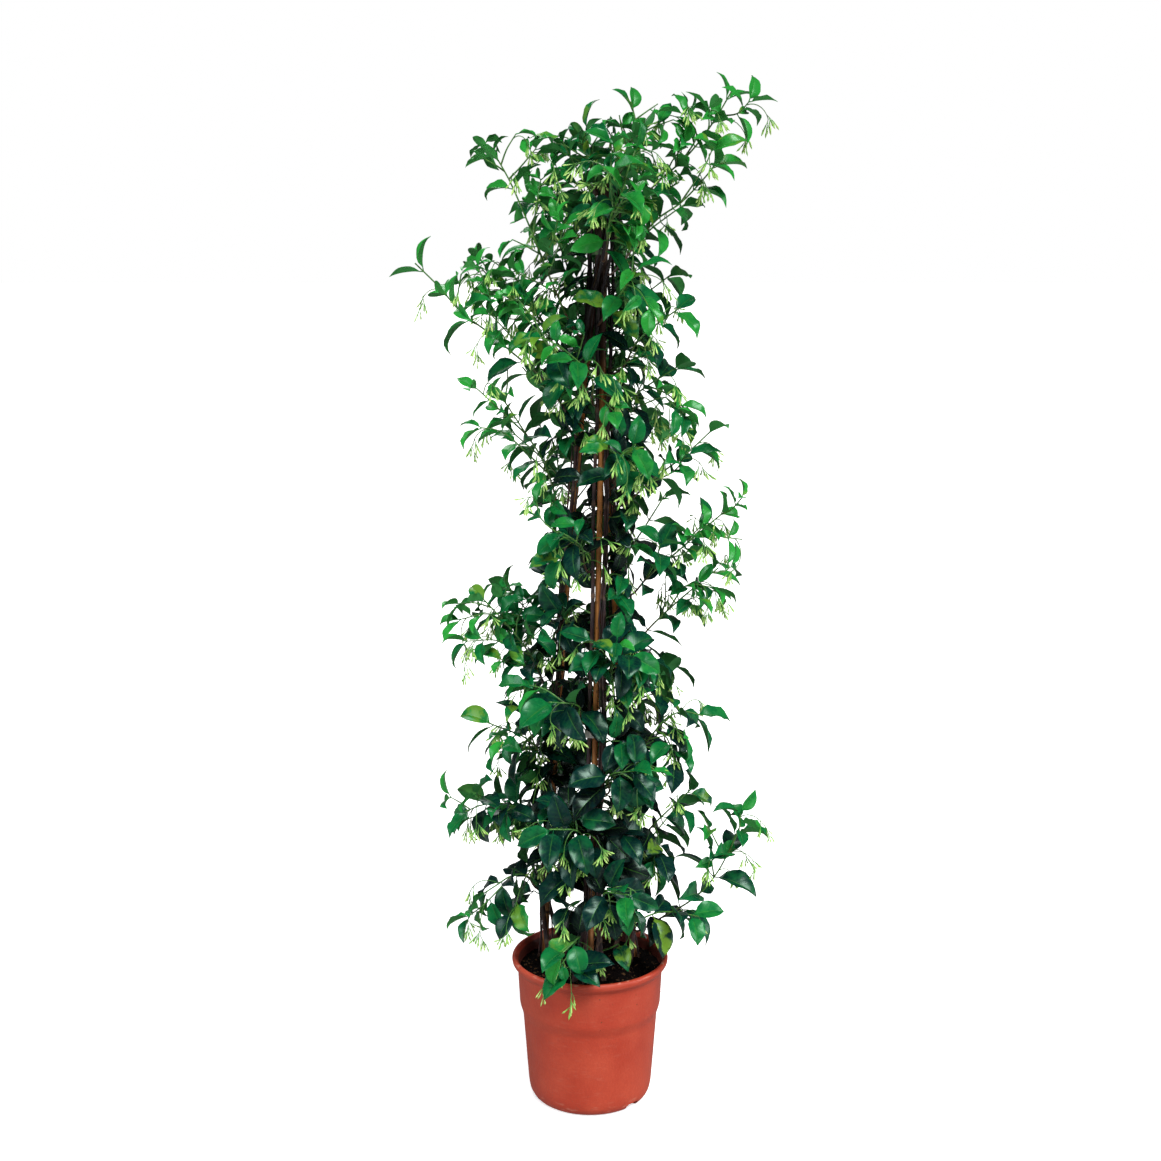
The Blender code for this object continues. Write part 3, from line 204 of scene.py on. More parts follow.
# Each side shoot: height on its vine, way, tip, leaf pairs, leaf length, hang from 0 to 1, bud bunches
Shoot = namedtuple("Shoot", "name root way tip pairs leaf hang bunches")
SHOOTS = [
    Shoot("top_right_high", 1.035, [(0.062, -0.015, 1.083), (0.108, -0.025, 1.125),
                                    (0.136, -0.030, 1.162)], (0.154, -0.030, 1.192), 6, 0.038, 0.0, 2),
    Shoot("top_right_low", 0.995, [(0.068, -0.030, 1.050), (0.105, -0.040, 1.078)],
          (0.140, -0.045, 1.118), 5, 0.044, 0.1, 1),
    Shoot("top_right_back", 0.975, [(0.060, 0.030, 1.035)], (0.112, 0.050, 1.075), 4, 0.042, 0.3, 1),
    Shoot("top_middle", 1.050, [(0.032, -0.012, 1.110), (0.050, -0.016, 1.150)],
          (0.045, -0.018, 1.182), 4, 0.036, 0.0, 0),
    Shoot("top_middle_left", 1.045, [(0.004, 0.016, 1.100)], (-0.006, 0.016, 1.148), 4, 0.040, 0.1, 1),
    Shoot("top_back", 1.020, [(0.022, 0.050, 1.070)], (0.030, 0.080, 1.118), 4, 0.042, 0.3, 1),
    Shoot("top_front", 1.010, [(0.022, -0.050, 1.055)], (0.036, -0.085, 1.088), 4, 0.044, 0.4, 1),
    Shoot("top_left", 0.925, [(-0.040, -0.015, 0.980), (-0.066, -0.020, 1.045),
                              (-0.088, -0.025, 1.096)], (-0.106, -0.028, 1.128), 6, 0.038, 0.1, 1),
    Shoot("top_left_back", 0.965, [(-0.030, 0.030, 1.015)], (-0.062, 0.050, 1.085), 3, 0.042, 0.3, 1),
    Shoot("left_long", 0.830, [(-0.045, -0.012, 0.870), (-0.078, -0.016, 0.900), (-0.111, -0.020, 0.929),
                               (-0.143, -0.025, 0.953), (-0.166, -0.028, 0.980)],
          (-0.194, -0.030, 1.008), 6, 0.043, 0.0, 2),
    Shoot("left_upper", 0.890, [(-0.052, 0.015, 0.935), (-0.095, 0.025, 0.972)],
          (-0.130, 0.032, 1.018), 5, 0.038, 0.2, 1),
    Shoot("left_upper_front", 0.860, [(-0.036, -0.045, 0.905)], (-0.076, -0.068, 0.958), 4, 0.042, 0.4, 1),
    Shoot("left_high_back", 0.800, [(-0.040, 0.048, 0.838)], (-0.080, 0.078, 0.885), 3, 0.044, 0.4, 0),
    Shoot("left_mid_high", 0.705, [(-0.042, -0.008, 0.752), (-0.056, -0.014, 0.790),
                                   (-0.076, -0.020, 0.822)], (-0.100, -0.024, 0.860), 6, 0.040, 0.2, 2),
    Shoot("left_mid_back", 0.740, [(-0.050, 0.040, 0.775)], (-0.094, 0.058, 0.812), 4, 0.042, 0.4, 1),
    Shoot("right_upper", 0.885, [(0.056, -0.025, 0.925)], (0.100, -0.040, 0.960), 4, 0.044, 0.4, 1),
    Shoot("right_upper_back", 0.920, [(0.052, 0.035, 0.960)], (0.096, 0.052, 0.995), 4, 0.042, 0.4, 0),
    Shoot("right_upper_low", 0.830, [(0.052, -0.006, 0.860)], (0.100, -0.012, 0.893), 4, 0.044, 0.5, 1),
    Shoot("right_high_back", 0.780, [(0.052, 0.044, 0.812)], (0.088, 0.074, 0.850), 3, 0.044, 0.4, 0),
    Shoot("right_mid_high", 0.730, [(0.070, -0.012, 0.762), (0.107, -0.020, 0.792)],
          (0.140, -0.025, 0.824), 5, 0.040, 0.0, 1),
    Shoot("right_mid", 0.620, [(0.071, -0.020, 0.656), (0.098, -0.025, 0.680), (0.126, -0.030, 0.706)],
          (0.156, -0.032, 0.732), 6, 0.037, 0.0, 1),
    Shoot("right_mid_low", 0.560, [(0.075, 0.000, 0.592), (0.106, 0.005, 0.620)],
          (0.150, 0.010, 0.656), 5, 0.038, 0.2, 1),
    Shoot("right_mid_back", 0.650, [(0.060, 0.050, 0.690)], (0.092, 0.080, 0.735), 3, 0.042, 0.4, 0),
    Shoot("left_mid_low", 0.500, [(-0.066, -0.006, 0.548), (-0.090, -0.015, 0.586)],
          (-0.126, -0.020, 0.628), 6, 0.040, 0.2, 2),
    Shoot("left_mid_low_back", 0.540, [(-0.062, 0.050, 0.578)], (-0.098, 0.074, 0.618), 4, 0.046, 0.5, 0),
    Shoot("right_low_high", 0.425, [(0.074, -0.015, 0.462), (0.100, -0.022, 0.490)],
          (0.130, -0.028, 0.488), 5, 0.048, 0.3, 1),
    Shoot("right_low_back", 0.470, [(0.074, 0.045, 0.505)], (0.104, 0.072, 0.530), 3, 0.046, 0.5, 0),
    Shoot("low_right", 0.205, [(0.088, -0.012, 0.232), (0.128, -0.022, 0.262), (0.156, -0.028, 0.302)],
          (0.176, -0.030, 0.350), 6, 0.047, 0.0, 1),
    Shoot("low_right_under", 0.225, [(0.082, -0.048, 0.252)], (0.126, -0.070, 0.256), 4, 0.044, 0.3, 1),
    Shoot("low_right_high", 0.320, [(0.082, -0.004, 0.352)], (0.122, -0.006, 0.392), 4, 0.046, 0.3, 1),
    Shoot("low_right_back", 0.275, [(0.078, 0.062, 0.308)], (0.108, 0.092, 0.335), 4, 0.048, 0.5, 0),
    Shoot("low_left", 0.335, [(-0.086, -0.004, 0.366), (-0.118, -0.014, 0.376)],
          (-0.148, -0.022, 0.368), 5, 0.046, 0.1, 1),
    Shoot("low_left_under", 0.255, [(-0.084, -0.008, 0.286)], (-0.130, -0.018, 0.262), 4, 0.042, 0.4, 1),
    Shoot("low_left_high", 0.415, [(-0.070, -0.012, 0.452)], (-0.120, -0.024, 0.478), 4, 0.048, 0.4, 1),
    Shoot("low_left_back", 0.290, [(-0.078, 0.062, 0.322)], (-0.110, 0.090, 0.345), 3, 0.048, 0.5, 0),
    Shoot("front_lowest", 0.215, [(-0.012, -0.082, 0.236)], (-0.036, -0.116, 0.226), 3, 0.044, 0.3, 1),
    Shoot("front_low_right", 0.265, [(0.016, -0.088, 0.292)], (0.044, -0.124, 0.304), 4, 0.050, 0.5, 0),
    Shoot("front_low_left", 0.335, [(-0.012, -0.080, 0.364)], (-0.046, -0.112, 0.378), 4, 0.052, 0.6, 1),
    Shoot("front_mid_low", 0.400, [(0.022, -0.076, 0.430)], (0.050, -0.108, 0.446), 4, 0.050, 0.6, 0),
    Shoot("front_mid_left", 0.490, [(-0.014, -0.070, 0.512)], (-0.046, -0.100, 0.524), 4, 0.050, 0.6, 0),
    Shoot("front_mid_right", 0.530, [(0.024, -0.066, 0.560)], (0.046, -0.098, 0.580), 4, 0.048, 0.5, 1),
    Shoot("front_high_left", 0.660, [(-0.010, -0.056, 0.694)], (-0.036, -0.082, 0.716), 3, 0.044, 0.5, 0),
    Shoot("front_high_right", 0.755, [(0.030, -0.048, 0.788)], (0.050, -0.078, 0.812), 4, 0.046, 0.5, 1),
    Shoot("front_top_left", 0.850, [(0.002, -0.048, 0.884)], (-0.018, -0.082, 0.908), 4, 0.042, 0.5, 1),
    Shoot("front_top_right", 0.940, [(0.032, -0.042, 0.972)], (0.050, -0.078, 1.004), 4, 0.042, 0.4, 1),
    Shoot("back_low", 0.380, [(0.010, 0.060, 0.420)], (0.014, 0.104, 0.452), 3, 0.048, 0.5, 0),
    Shoot("back_high", 0.860, [(0.008, 0.046, 0.905)], (0.000, 0.084, 0.945), 4, 0.044, 0.4, 0),
]


# Routes of canes, vines and shoots

UP = Vector((0.0, 0.0, 1.0))


def lerp(low, high, share):
    return low + (high - low) * share


def smooth(low, high, value):
    """0 below low, 1 above high, eased between."""
    share = min(max((value - low) / (high - low), 0.0), 1.0)
    return share * share * (3.0 - 2.0 * share)


def cane_at(cane, z):
    """The cane's centre at height z. At the tie the canes pass each other side by side."""
    foot, bow = CANES[cane]
    outward = foot.normalized()
    beside = Vector((-outward.y, outward.x))
    at_tie = TIE_CENTRE + beside * TIE_OFFSET
    share = (z - SOIL_TOP) / (TIE_Z - SOIL_TOP)
    bulge = bow * 4.0 * share * (1.0 - share) if 0.0 < share < 1.0 else 0.0
    place = foot.lerp(at_tie, share) + outward * bulge
    return Vector((place.x, place.y, z))


def cane_route(cane):
    """From the cane's foot deep in the soil to its head above the tie."""
    heights = [CANE_FOOT_Z, lerp(CANE_FOOT_Z, SOIL_TOP, 0.5)]
    heights += [lerp(SOIL_TOP, TIE_Z, i / (CANE_POINTS - 1)) for i in range(CANE_POINTS)]
    heights.append(TIE_Z + CANE_OVER_TIE)
    return [cane_at(cane, z) for z in heights]


def vine_radius(z):
    return lerp(VINE_FOOT_RADIUS, VINE_TOP_RADIUS, min(max(z - SOIL_TOP, 0.0), 1.0))


def vine_at(name, z):
    """The vine's centre at height z, on its side of the cane and swinging gently round it."""
    vine = VINES[name]
    cane = cane_at(vine.cane, z)
    middle = TIE_CENTRE * min(max((z - SOIL_TOP) / (TIE_Z - SOIL_TOP), 0.0), 1.0)
    outward = (cane.xy - middle).normalized()
    swing = math.sin(2.0 * math.pi * (z / SWING_PITCH + vine.phase))
    spread = lerp(VINE_SIDE_TURN, VINE_TOP_TURN, smooth(*CLOSING_UP, z))
    reach = lerp(VINE_REACH_LOW, VINE_REACH_HIGH, smooth(*STANDING_OFF, z))
    low = 1.0 - smooth(SOIL_TOP, SOIL_TOP + VINE_ROOT_LEAN, z)
    angle = math.radians(vine.side * lerp(spread, VINE_ROOT_TURN, low) + SWING_TURN * swing)
    reach = lerp(reach, VINE_ROOT_REACH, low)
    if vine.cane == "front" and name != CLIPPED_VINE:
        # Stands off where the clip passes between it and the cane
        reach += CLIP_DETOUR * (1.0 - smooth(*CLIP_EASE, abs(z - CLIP_Z)))
    turned = Vector((outward.x, outward.y, 0.0))
    turned.rotate(Matrix.Rotation(angle, 3, "Z"))
    return cane + turned * reach


def vine_route(name):
    """Straight in its hole, then up the cane."""
    foot = vine_at(name, SOIL_TOP)
    bottom = foot - Vector((0.0, 0.0, VINE_ROOT_DEPTH))
    low = SOIL_TOP + VINE_ROOT_RISE
    heights = [lerp(low, VINES[name].top, i / (VINE_POINTS - 2)) for i in range(VINE_POINTS - 1)]
    above = Vector((foot.x, foot.y, heights[0]))
    return [bottom, above] + [vine_at(name, z) for z in heights[1:]]


def vine_place(name, z):
    """Where the vine's straight-sided tube has its centre at height z."""
    route = vine_route(name)
    for low, high in zip(route, route[1:]):
        if low.z <= z <= high.z:
            return low.lerp(high, (z - low.z) / (high.z - low.z))
    return route[-1]


CURVE_STEPS = 12


def smooth_route(points, count):
    """count points evenly spread along a smooth curve through points."""
    dense = []
    ends = [points[0] * 2.0 - points[1]] + list(points) + [points[-1] * 2.0 - points[-2]]
    for i in range(1, len(ends) - 2):
        before, start, end, after = ends[i - 1:i + 3]
        for j in range(CURVE_STEPS):
            t = j / CURVE_STEPS
            bend = (start * 2.0 + (end - before) * t
                    + (before * 2.0 - start * 5.0 + end * 4.0 - after) * t * t
                    + (start * 3.0 - before - end * 3.0 + after) * t * t * t)
            dense.append(bend * 0.5)
    dense.append(ends[-2].copy())
    lengths = [0.0]
    for a, b in zip(dense, dense[1:]):
        lengths.append(lengths[-1] + (b - a).length)
    route = []
    for k in range(count):
        want = lengths[-1] * k / (count - 1)
        i = next((n for n, reach in enumerate(lengths) if reach >= want), len(lengths) - 1)
        i = max(i, 1)
        span = max(lengths[i] - lengths[i - 1], 1e-9)
        route.append(dense[i - 1].lerp(dense[i], (want - lengths[i - 1]) / span))
    return route


# Meshes of leaves, stems and buds as lists of points and faces

def bent_point(base, along, up, length, bend, share):
    """Point, direction and upward side at a share of an arc that starts along and turns down."""
    turn = bend * share
    if abs(bend) < 1e-4:
        reach, sink = length * share, 0.0
    else:
        reach = length * math.sin(turn) / bend
        sink = length * (1.0 - math.cos(turn)) / bend
    place = base + along * reach - up * sink
    side_up = along * math.sin(turn) + up * math.cos(turn)
    return place, side_up


SPHERES = {}


def unit_sphere(sides, rings):
    """Points and faces of a small sphere whose poles lie on Z, from Blender's own primitive."""
    if (sides, rings) not in SPHERES:
        bm = bmesh.new()
        bmesh.ops.create_uvsphere(bm, u_segments=sides, v_segments=rings, radius=1.0)
        bmesh.ops.triangulate(bm, faces=bm.faces[:])
        bm.verts.ensure_lookup_table()
        points = [v.co.copy() for v in bm.verts]
        faces = [[v.index for v in f.verts] for f in bm.faces]
        bm.free()
        SPHERES[(sides, rings)] = (points, faces)
    return SPHERES[(sides, rings)]


Leaf = namedtuple("Leaf", "base along up length bend")
# Along the leaf: share of its length, share of its half width, share of its keel's depth
LEAF_STATIONS = ((0.0, 0.0, 0.0), (0.09, 0.0, 1.0), (0.42, 1.0, 1.0), (0.76, 0.66, 0.9), (1.0, 0.0, 0.0))
SKIPPED_STALK = ((0.14, 0.0, 0.0), (0.17, 0.15, 1.0))


def leaf_mesh(leaf, skip_stalk=False, spare=0.0):
    """A blade on a short stalk: flat on top, with a keel below. spare makes it larger all round."""
    points, faces = unit_sphere(4 if spare else 3, 4)
    across = leaf.up.cross(leaf.along).normalized()
    width = leaf.length * LEAF_HALF_WIDTH
    placed = []
    for p in points:
        ring = round(math.acos(max(-1.0, min(1.0, -p.z))) / math.pi * 4)
        share, wide, thick = LEAF_STATIONS[ring]
        if skip_stalk and ring < 2:
            share, wide, thick = SKIPPED_STALK[ring]
        place, side_up = bent_point(leaf.base, leaf.along, leaf.up, leaf.length, leaf.bend, share)
        half = width * wide + (PETIOLE_HALF if ring == 1 else 0.0)
        if not 0 < ring < 4:
            placed.append(place)
            continue
        turn = math.degrees(math.atan2(p.y, p.x)) % 360.0
        if spare:
            # Right edge, top, left edge, keel
            role = round(turn / 90.0) % 4
            sideways = (half + spare, 0.0, -half - spare, 0.0)[role]
            rise = (0.0, spare, 0.0, -LEAF_KEEL * thick - spare)[role]
        else:
            # Right edge, left edge, keel
            role = round(turn / 120.0) % 3
            sideways = (half, -half, 0.0)[role]
            rise = (0.0, 0.0, -LEAF_KEEL * thick)[role]
        placed.append(place + across * sideways + side_up * rise)
    return placed, faces


Bunch = namedtuple("Bunch", "base along up length bend buds")
BUNCH_STATIONS = ((0.0, 0.0), (0.06, 1.0), (0.55, 1.0), (1.0, 1.0))
BUNCH_SIDES = 3


def bunch_mesh(bunch, start=0.0, spare=0.0):
    """A slim arching flower stalk whose end parts into three hanging buds, as one closed shape."""
    across = bunch.up.cross(bunch.along).normalized()
    points, faces = [], []
    rings = []
    for share, wide in BUNCH_STATIONS:
        share = max(share, start if wide else start * 0.9)
        place, side_up = bent_point(bunch.base, bunch.along, bunch.up, bunch.length, bunch.bend, share)
        if not wide:
            rings.append([len(points)])
            points.append(place)
            continue
        ring = []
        for k in range(BUNCH_SIDES):
            angle = 2.0 * math.pi * k / BUNCH_SIDES
            ring.append(len(points))
            radius = PEDUNCLE_RADIUS + spare
            points.append(place + (across * math.cos(angle) + side_up * math.sin(angle)) * radius)
        rings.append(ring)
    for k in range(BUNCH_SIDES):
        after = (k + 1) % BUNCH_SIDES
        faces.append([rings[0][0], rings[1][k], rings[1][after]])
        for low, high in zip(rings[1:], rings[2:]):
            faces.append([low[k], high[k], high[after], low[after]])
    way = side_up.cross(across)
    if way.dot(place - points[rings[2][0]]) < 0.0:
        way = -way
    middle = len(points)
    points.append(place + way * BUD_MIDDLE)
    for k in range(BUNCH_SIDES):
        after = (k + 1) % BUNCH_SIDES
        angle = 2.0 * math.pi * (k + 0.5) / BUNCH_SIDES
        lean = across * math.cos(angle) + side_up * math.sin(angle)
        side = -across * math.sin(angle) + side_up * math.cos(angle)
        bud_way = (way * BUD_FOLLOWS + lean * BUD_SPREADS + BUD_HANGS).normalized()
        length = BUD_LENGTH * bunch.buds[k] + spare
        belly = place + bud_way * length * BUD_BELLY
        radius = BUD_RADIUS + spare
        first = len(points)
        points.append(belly + (lean * 0.5 - side * 0.87) * radius)
        points.append(belly + (lean * 0.5 + side * 0.87) * radius)
        points.append(belly - lean * radius)
        points.append(place + bud_way * length)
        root = [rings[-1][k], rings[-1][after], middle]
        ring = [first, first + 1, first + 2]
        for i in range(3):
            n = (i + 1) % 3
            faces.append([root[i], ring[i], ring[n], root[n]])
            faces.append([ring[i], first + 3, ring[n]])
    return points, faces


def tube_mesh(route, radii, sides=4):
    """A plain open-ended tube, used only to keep other things clear of a stem."""
    points, faces = [], []
    for i, place in enumerate(route):
        ahead = route[min(i + 1, len(route) - 1)] - route[max(i - 1, 0)]
        across = ahead.cross(Vector((0.31, 0.72, 0.21))).normalized()
        other = ahead.cross(across).normalized()
        for k in range(sides):
            angle = 2.0 * math.pi * k / sides
            points.append(place + (across * math.cos(angle) + other * math.sin(angle)) * radii[i])
    for i in range(len(route) - 1):
        for k in range(sides):
            a, b = i * sides + k, i * sides + (k + 1) % sides
            faces.append([a, b, b + sides, a + sides])
    return points, faces


def turned_mesh(profile, steps=32):
    """A ring-shaped keep-out surface from a closed profile."""
    points, faces = [], []
    count = len(profile)
    for i in range(steps):
        angle = 2.0 * math.pi * i / steps
        points += [Vector((r * math.cos(angle), r * math.sin(angle), z)) for r, z in profile]
    for i in range(steps):
        for k in range(count):
            after = (i + 1) % steps
            faces.append([i * count + k, i * count + (k + 1) % count,
                          after * count + (k + 1) % count, after * count + k])
    return points, faces


# Keeping every piece clear of the pieces of other nodes

# Keep-outs of the pot inside its wall, under its lip and in its mouth, and of the soil's top
POT_INSIDE = (0.0840, 0.1100)
UNDER_LIP_RADIUS = 0.0885
MOUTH_RADIUS = 0.0880
SLAB_DEPTH = 0.020
SPARE_HEIGHT = 0.002
# How much wider the keep-outs of canes and vines are than these, and height and radius of the bands'
CANE_SPARE = 1.12
VINE_SPARE = 1.06
TIE_SLEEVE = (0.004, 0.0125)
CLIP_SLEEVE = (0.006, 0.0100)
SLEEVE_SIDES = 8
SPACE_LEVEL = 0.02
# What a blade or a bunch has to stay clear of on its own shoot
OWN_KINDS = ("blade", "stem")


class Space:
    """Holds what is already placed and says whether a new mesh would cross any of it."""

    def __init__(self):
        self.levels = {}

    @staticmethod
    def box(points):
        return [min(p[i] for p in points) for i in range(3)], [max(p[i] for p in points) for i in range(3)]

    @staticmethod
    def levels_of(low, high):
        return range(int(low[2] / SPACE_LEVEL), int(high[2] / SPACE_LEVEL) + 1)

    def add(self, mesh, owner, kind):
        low, high = self.box(mesh[0])
        entry = (low, high, BVHTree.FromPolygons(*mesh), owner, kind)
        for level in self.levels_of(low, high):
            self.levels.setdefault(level, []).append(entry)

    def free(self, mesh, owner=None, own_kinds=()):
        """True if mesh touches nothing, leaving out the owner's pieces except of own_kinds."""
        low, high = self.box(mesh[0])
        tree = None
        tried = set()
        for level in self.levels_of(low, high):
            for entry in self.levels.get(level, ()):
                other_low, other_high, other, name, kind = entry
                if low[0] > other_high[0] or high[0] < other_low[0] or low[1] > other_high[1] \
                        or high[1] < other_low[1] or low[2] > other_high[2] or high[2] < other_low[2]:
                    continue
                if (name == owner and kind not in own_kinds) or id(entry) in tried:
                    continue
                tried.add(id(entry))
                if tree is None:
                    tree = BVHTree.FromPolygons(*mesh)
                if tree.overlap(other):
                    return False
        return True


def sleeve_at(middle, half_height, radius):
    """An upright tube round a place, as a keep-out."""
    rise = Vector((0.0, 0.0, half_height))
    return tube_mesh([middle - rise, middle + rise], [radius] * 2, SLEEVE_SIDES)


def keep_outs():
    """The pot, soil, canes, vines and bands, which shoots and leaves grow round."""
    space = Space()
    lip_foot = POT_HEIGHT - LIP_HEIGHT
    rim = POT_HEIGHT + GAP
    pot = [POT_INSIDE, (BASE_RADIUS, 0.0), (BODY_TOP_RADIUS, COLLAR_FOOT_Z), (UNDER_LIP_RADIUS, lip_foot),
           (LIP_RADIUS + GAP, lip_foot), (LIP_RADIUS + GAP, rim), (MOUTH_RADIUS, rim)]
    space.add(turned_mesh(pot), "pot", "pot")
    top = SOIL_TOP + SOIL_MOUND + SPARE_HEIGHT
    slab = [(0.0, top - SLAB_DEPTH), (MOUTH_RADIUS, top - SLAB_DEPTH), (MOUTH_RADIUS, top), (0.0, top)]
    space.add(turned_mesh(slab), "soil", "soil")
    for cane in CANES:
        route = cane_route(cane)
        route[-1] = cane_at(cane, TIE_Z + CANE_OVER_TIE + SPARE_HEIGHT)
        radii = [CANE_RADIUS * CANE_SPARE] * len(route)
        space.add(tube_mesh(route, radii, SLEEVE_SIDES), "cane_" + cane, "cane")
    for name in VINES:
        route = vine_route(name)
        radii = [vine_radius(p.z) * VINE_SPARE for p in route]
        space.add(tube_mesh(route, radii, SLEEVE_SIDES), name, "vine")
    tie = Vector((TIE_CENTRE.x, TIE_CENTRE.y, TIE_Z))
    space.add(sleeve_at(tie, *TIE_SLEEVE), "cane_tie", "tie")
    clip = cane_at("front", CLIP_Z).lerp(vine_place(CLIPPED_VINE, CLIP_Z), 0.5)
    space.add(sleeve_at(clip, *CLIP_SLEEVE), "plant_clip", "clip")
    return space


def pick_vine(root, aim):
    """The vine that faces aim at this height, and the way out of it, clear of its cane."""
    best = None
    for name, vine in VINES.items():
        if root > vine.top - VINE_TOP_BARE:
            continue
        place = vine_place(name, root)
        out = (place - cane_at(vine.cane, root)).to_2d().normalized()
        middle = TIE_CENTRE * ((root - SOIL_TOP) / (TIE_Z - SOIL_TOP))
        away = (place.to_2d() - middle).normalized()
        want = (aim.to_2d() - place.to_2d()).normalized()
        score = out.dot(want) + away.dot(want)
        if best is None or score > best[0]:
            best = (score, name, place, out, want)
    _, name, place, out, want = best
    way = (out + want).normalized()
    return name, place, Vector((way.x, way.y, 0.0))


def lay_stem(shoot, space, draw):
    """The stem's route, moved a little until it crosses nothing. None if it never fits."""
    tip = Vector(shoot.tip)
    way = [Vector(p) for p in shoot.way]
    vine, place, out = pick_vine(shoot.root, way[0])
    # The stem leaves square to the vine's surface, a hair's breadth clear of it
    for extra in range(ROOT_TRIES):
        start = place + out * (vine_radius(place.z) + GAP + extra * ROOT_STEP)
        if space.free(tube_mesh([start, start + out * ROOT_STRAIGHT], [STEM_ROOT_RADIUS] * 2)):
            break
    count = shoot.pairs + 2
    for attempt in range(STEM_TRIES):
        shake = STEM_SHAKE * attempt
        shift = Vector([draw.uniform(-shake, shake) for _ in range(3)])
        first = start + out * ROOT_REACH + ROOT_LIFT
        points = [start, first] + [p + shift for p in way] + [tip + shift * 0.5]
        route = smooth_route(points, count)
        route[0] = start
        route.insert(1, start + out * ROOT_STRAIGHT)
        radii = stem_radii(len(route))
        beyond_root = tube_mesh(route[1:], [r + CLEAR for r in radii[1:]])
        if space.free(beyond_root) and space.free(tube_mesh(route[:2], radii[:2])):
            space.add(tube_mesh(route, radii), shoot.name, "stem")
            return route, radii, vine
    return None


def leaf_way(stem_way, angle, spread, hang):
    """The way a leaf or flower stalk points that leaves the stem at an angle round it."""
    level = stem_way.cross(UP)
    level = level.normalized() if level.length > 1e-3 else Vector((1.0, 0.0, 0.0))
    rise = level.cross(stem_way).normalized()
    sideways = level * math.cos(angle) + rise * math.sin(angle)
    along = stem_way * math.cos(spread) + sideways * math.sin(spread)
    return (along + Vector((0.0, 0.0, -1.0)) * hang).normalized()


def upper_side(along, place, twist):
    """Up and outwards, square to the leaf, with a small random twist."""
    out = Vector((place.x - TIE_CENTRE.x, place.y, 0.0)).normalized()
    up = UP + out * LEAF_FACES_OUT
    up = up - along * up.dot(along)
    if up.length < LEAF_STEEPEST:
        up = out - along * out.dot(along)
    up.normalize()
    up.rotate(Matrix.Rotation(math.radians(twist), 3, along))
    return up


def seat_leaf(leaf, owner, free, space):
    """Takes the leaf up if it is clear. Only its stalk may touch the shoot that it grows on."""
    if not free(leaf_mesh(leaf, False, CLEAR), owner):
        return False
    if not free(leaf_mesh(leaf, True, CLEAR), owner, OWN_KINDS):
        return False
    space.add(leaf_mesh(leaf), owner, "leaf")
    space.add(leaf_mesh(leaf, True), owner, "blade")
    return True


def seat_bunch(bunch, owner, free, space):
    """Takes the bunch up if it is clear. Only its foot may touch the shoot that it grows on."""
    if not free(bunch_mesh(bunch, 0.0, CLEAR), owner):
        return False
    if not free(bunch_mesh(bunch, PEDUNCLE_BARE_FROM, CLEAR), owner, OWN_KINDS):
        return False
    space.add(bunch_mesh(bunch), owner, "bunch")
    return True


def grow_pair(place, stem_way, turn, pair, spread, hang, size, habit, owner, free, space, draw):
    """Two opposite leaves. Each try swings further and is shorter, until one is clear."""
    leaves = []
    for side in (0, 1):
        for attempt in range(habit.tries):
            loose = attempt / (habit.tries - 1.0)
            angle = turn + math.pi * (0.5 * pair + side)
            angle += draw.uniform(-1.0, 1.0) * (habit.swing + LOOSE_SWING * loose)
            opened = spread + draw.uniform(-SPREAD_SHAKE, SPREAD_SHAKE) * (1.0 + habit.widen * loose)
            along = leaf_way(stem_way, angle, opened, hang * draw.uniform(*habit.hangs))
            up = upper_side(along, place, draw.uniform(-LEAF_TWIST, LEAF_TWIST))
            bend = math.radians(draw.uniform(*habit.bends))
            length = size * draw.uniform(*habit.lengths) * (1.0 - habit.shrink * loose)
            leaf = Leaf(place + along * habit.sunk, along, up, length, bend)
            if seat_leaf(leaf, owner, free, space):
                leaves.append(leaf)
                break
    return leaves


def grow_leaves(shoot, route, space, draw):
    """Pairs of leaves up the stem, each pair a quarter turn from the last."""
    leaves = []
    turn = draw.uniform(0.0, math.pi)
    for k in range(shoot.pairs):
        index = len(route) - 1 - k
        # A little short of the stem's own joint, so that the leaf stalk meets one flat face of it
        place = route[index].lerp(route[index - 1], LEAF_BELOW_JOINT)
        if (place - route[0]).length < FIRST_PAIR:
            continue
        ahead = route[min(index + 1, len(route) - 1)] - route[index - 1]
        size = shoot.leaf * LEAF_SIZES[min(k, 3)]
        leaves += grow_pair(place, ahead.normalized(), turn, k, LEAF_SPREADS[min(k, 2)], shoot.hang, size,
                            SHOOT_HABIT, shoot.name, space.free, space, draw)
    return leaves


def grow_bunches(shoot, route, space, draw):
    """Slim arching stalks with a tassel of narrow buds, from the axils near the tip."""
    bunches = []
    for k in range(shoot.bunches):
        index = max(len(route) - 2 - k * 2, 2)
        place = route[index].lerp(route[index - 1], BUNCH_BELOW_JOINT)
        stem_way = (route[index] - route[index - 1]).normalized()
        for _ in range(BUNCH_TRIES):
            angle = draw.uniform(0.0, 2.0 * math.pi)
            along = leaf_way(stem_way, angle, BUNCH_OPENS, BUNCH_LIFTS)
            up = UP - along * along.z
            length = draw.uniform(*PEDUNCLE_LENGTHS)
            buds = [draw.uniform(*BUD_SIZES) for _ in range(BUNCH_SIDES)]
            if up.length < STEEPEST:
                continue
            base = place + along * ROOT_SUNK
            bunch = Bunch(base, along, up.normalized(), length, PEDUNCLE_BEND, buds)
            if seat_bunch(bunch, shoot.name, space.free, space):
                bunches.append(bunch)
                break
    return bunches


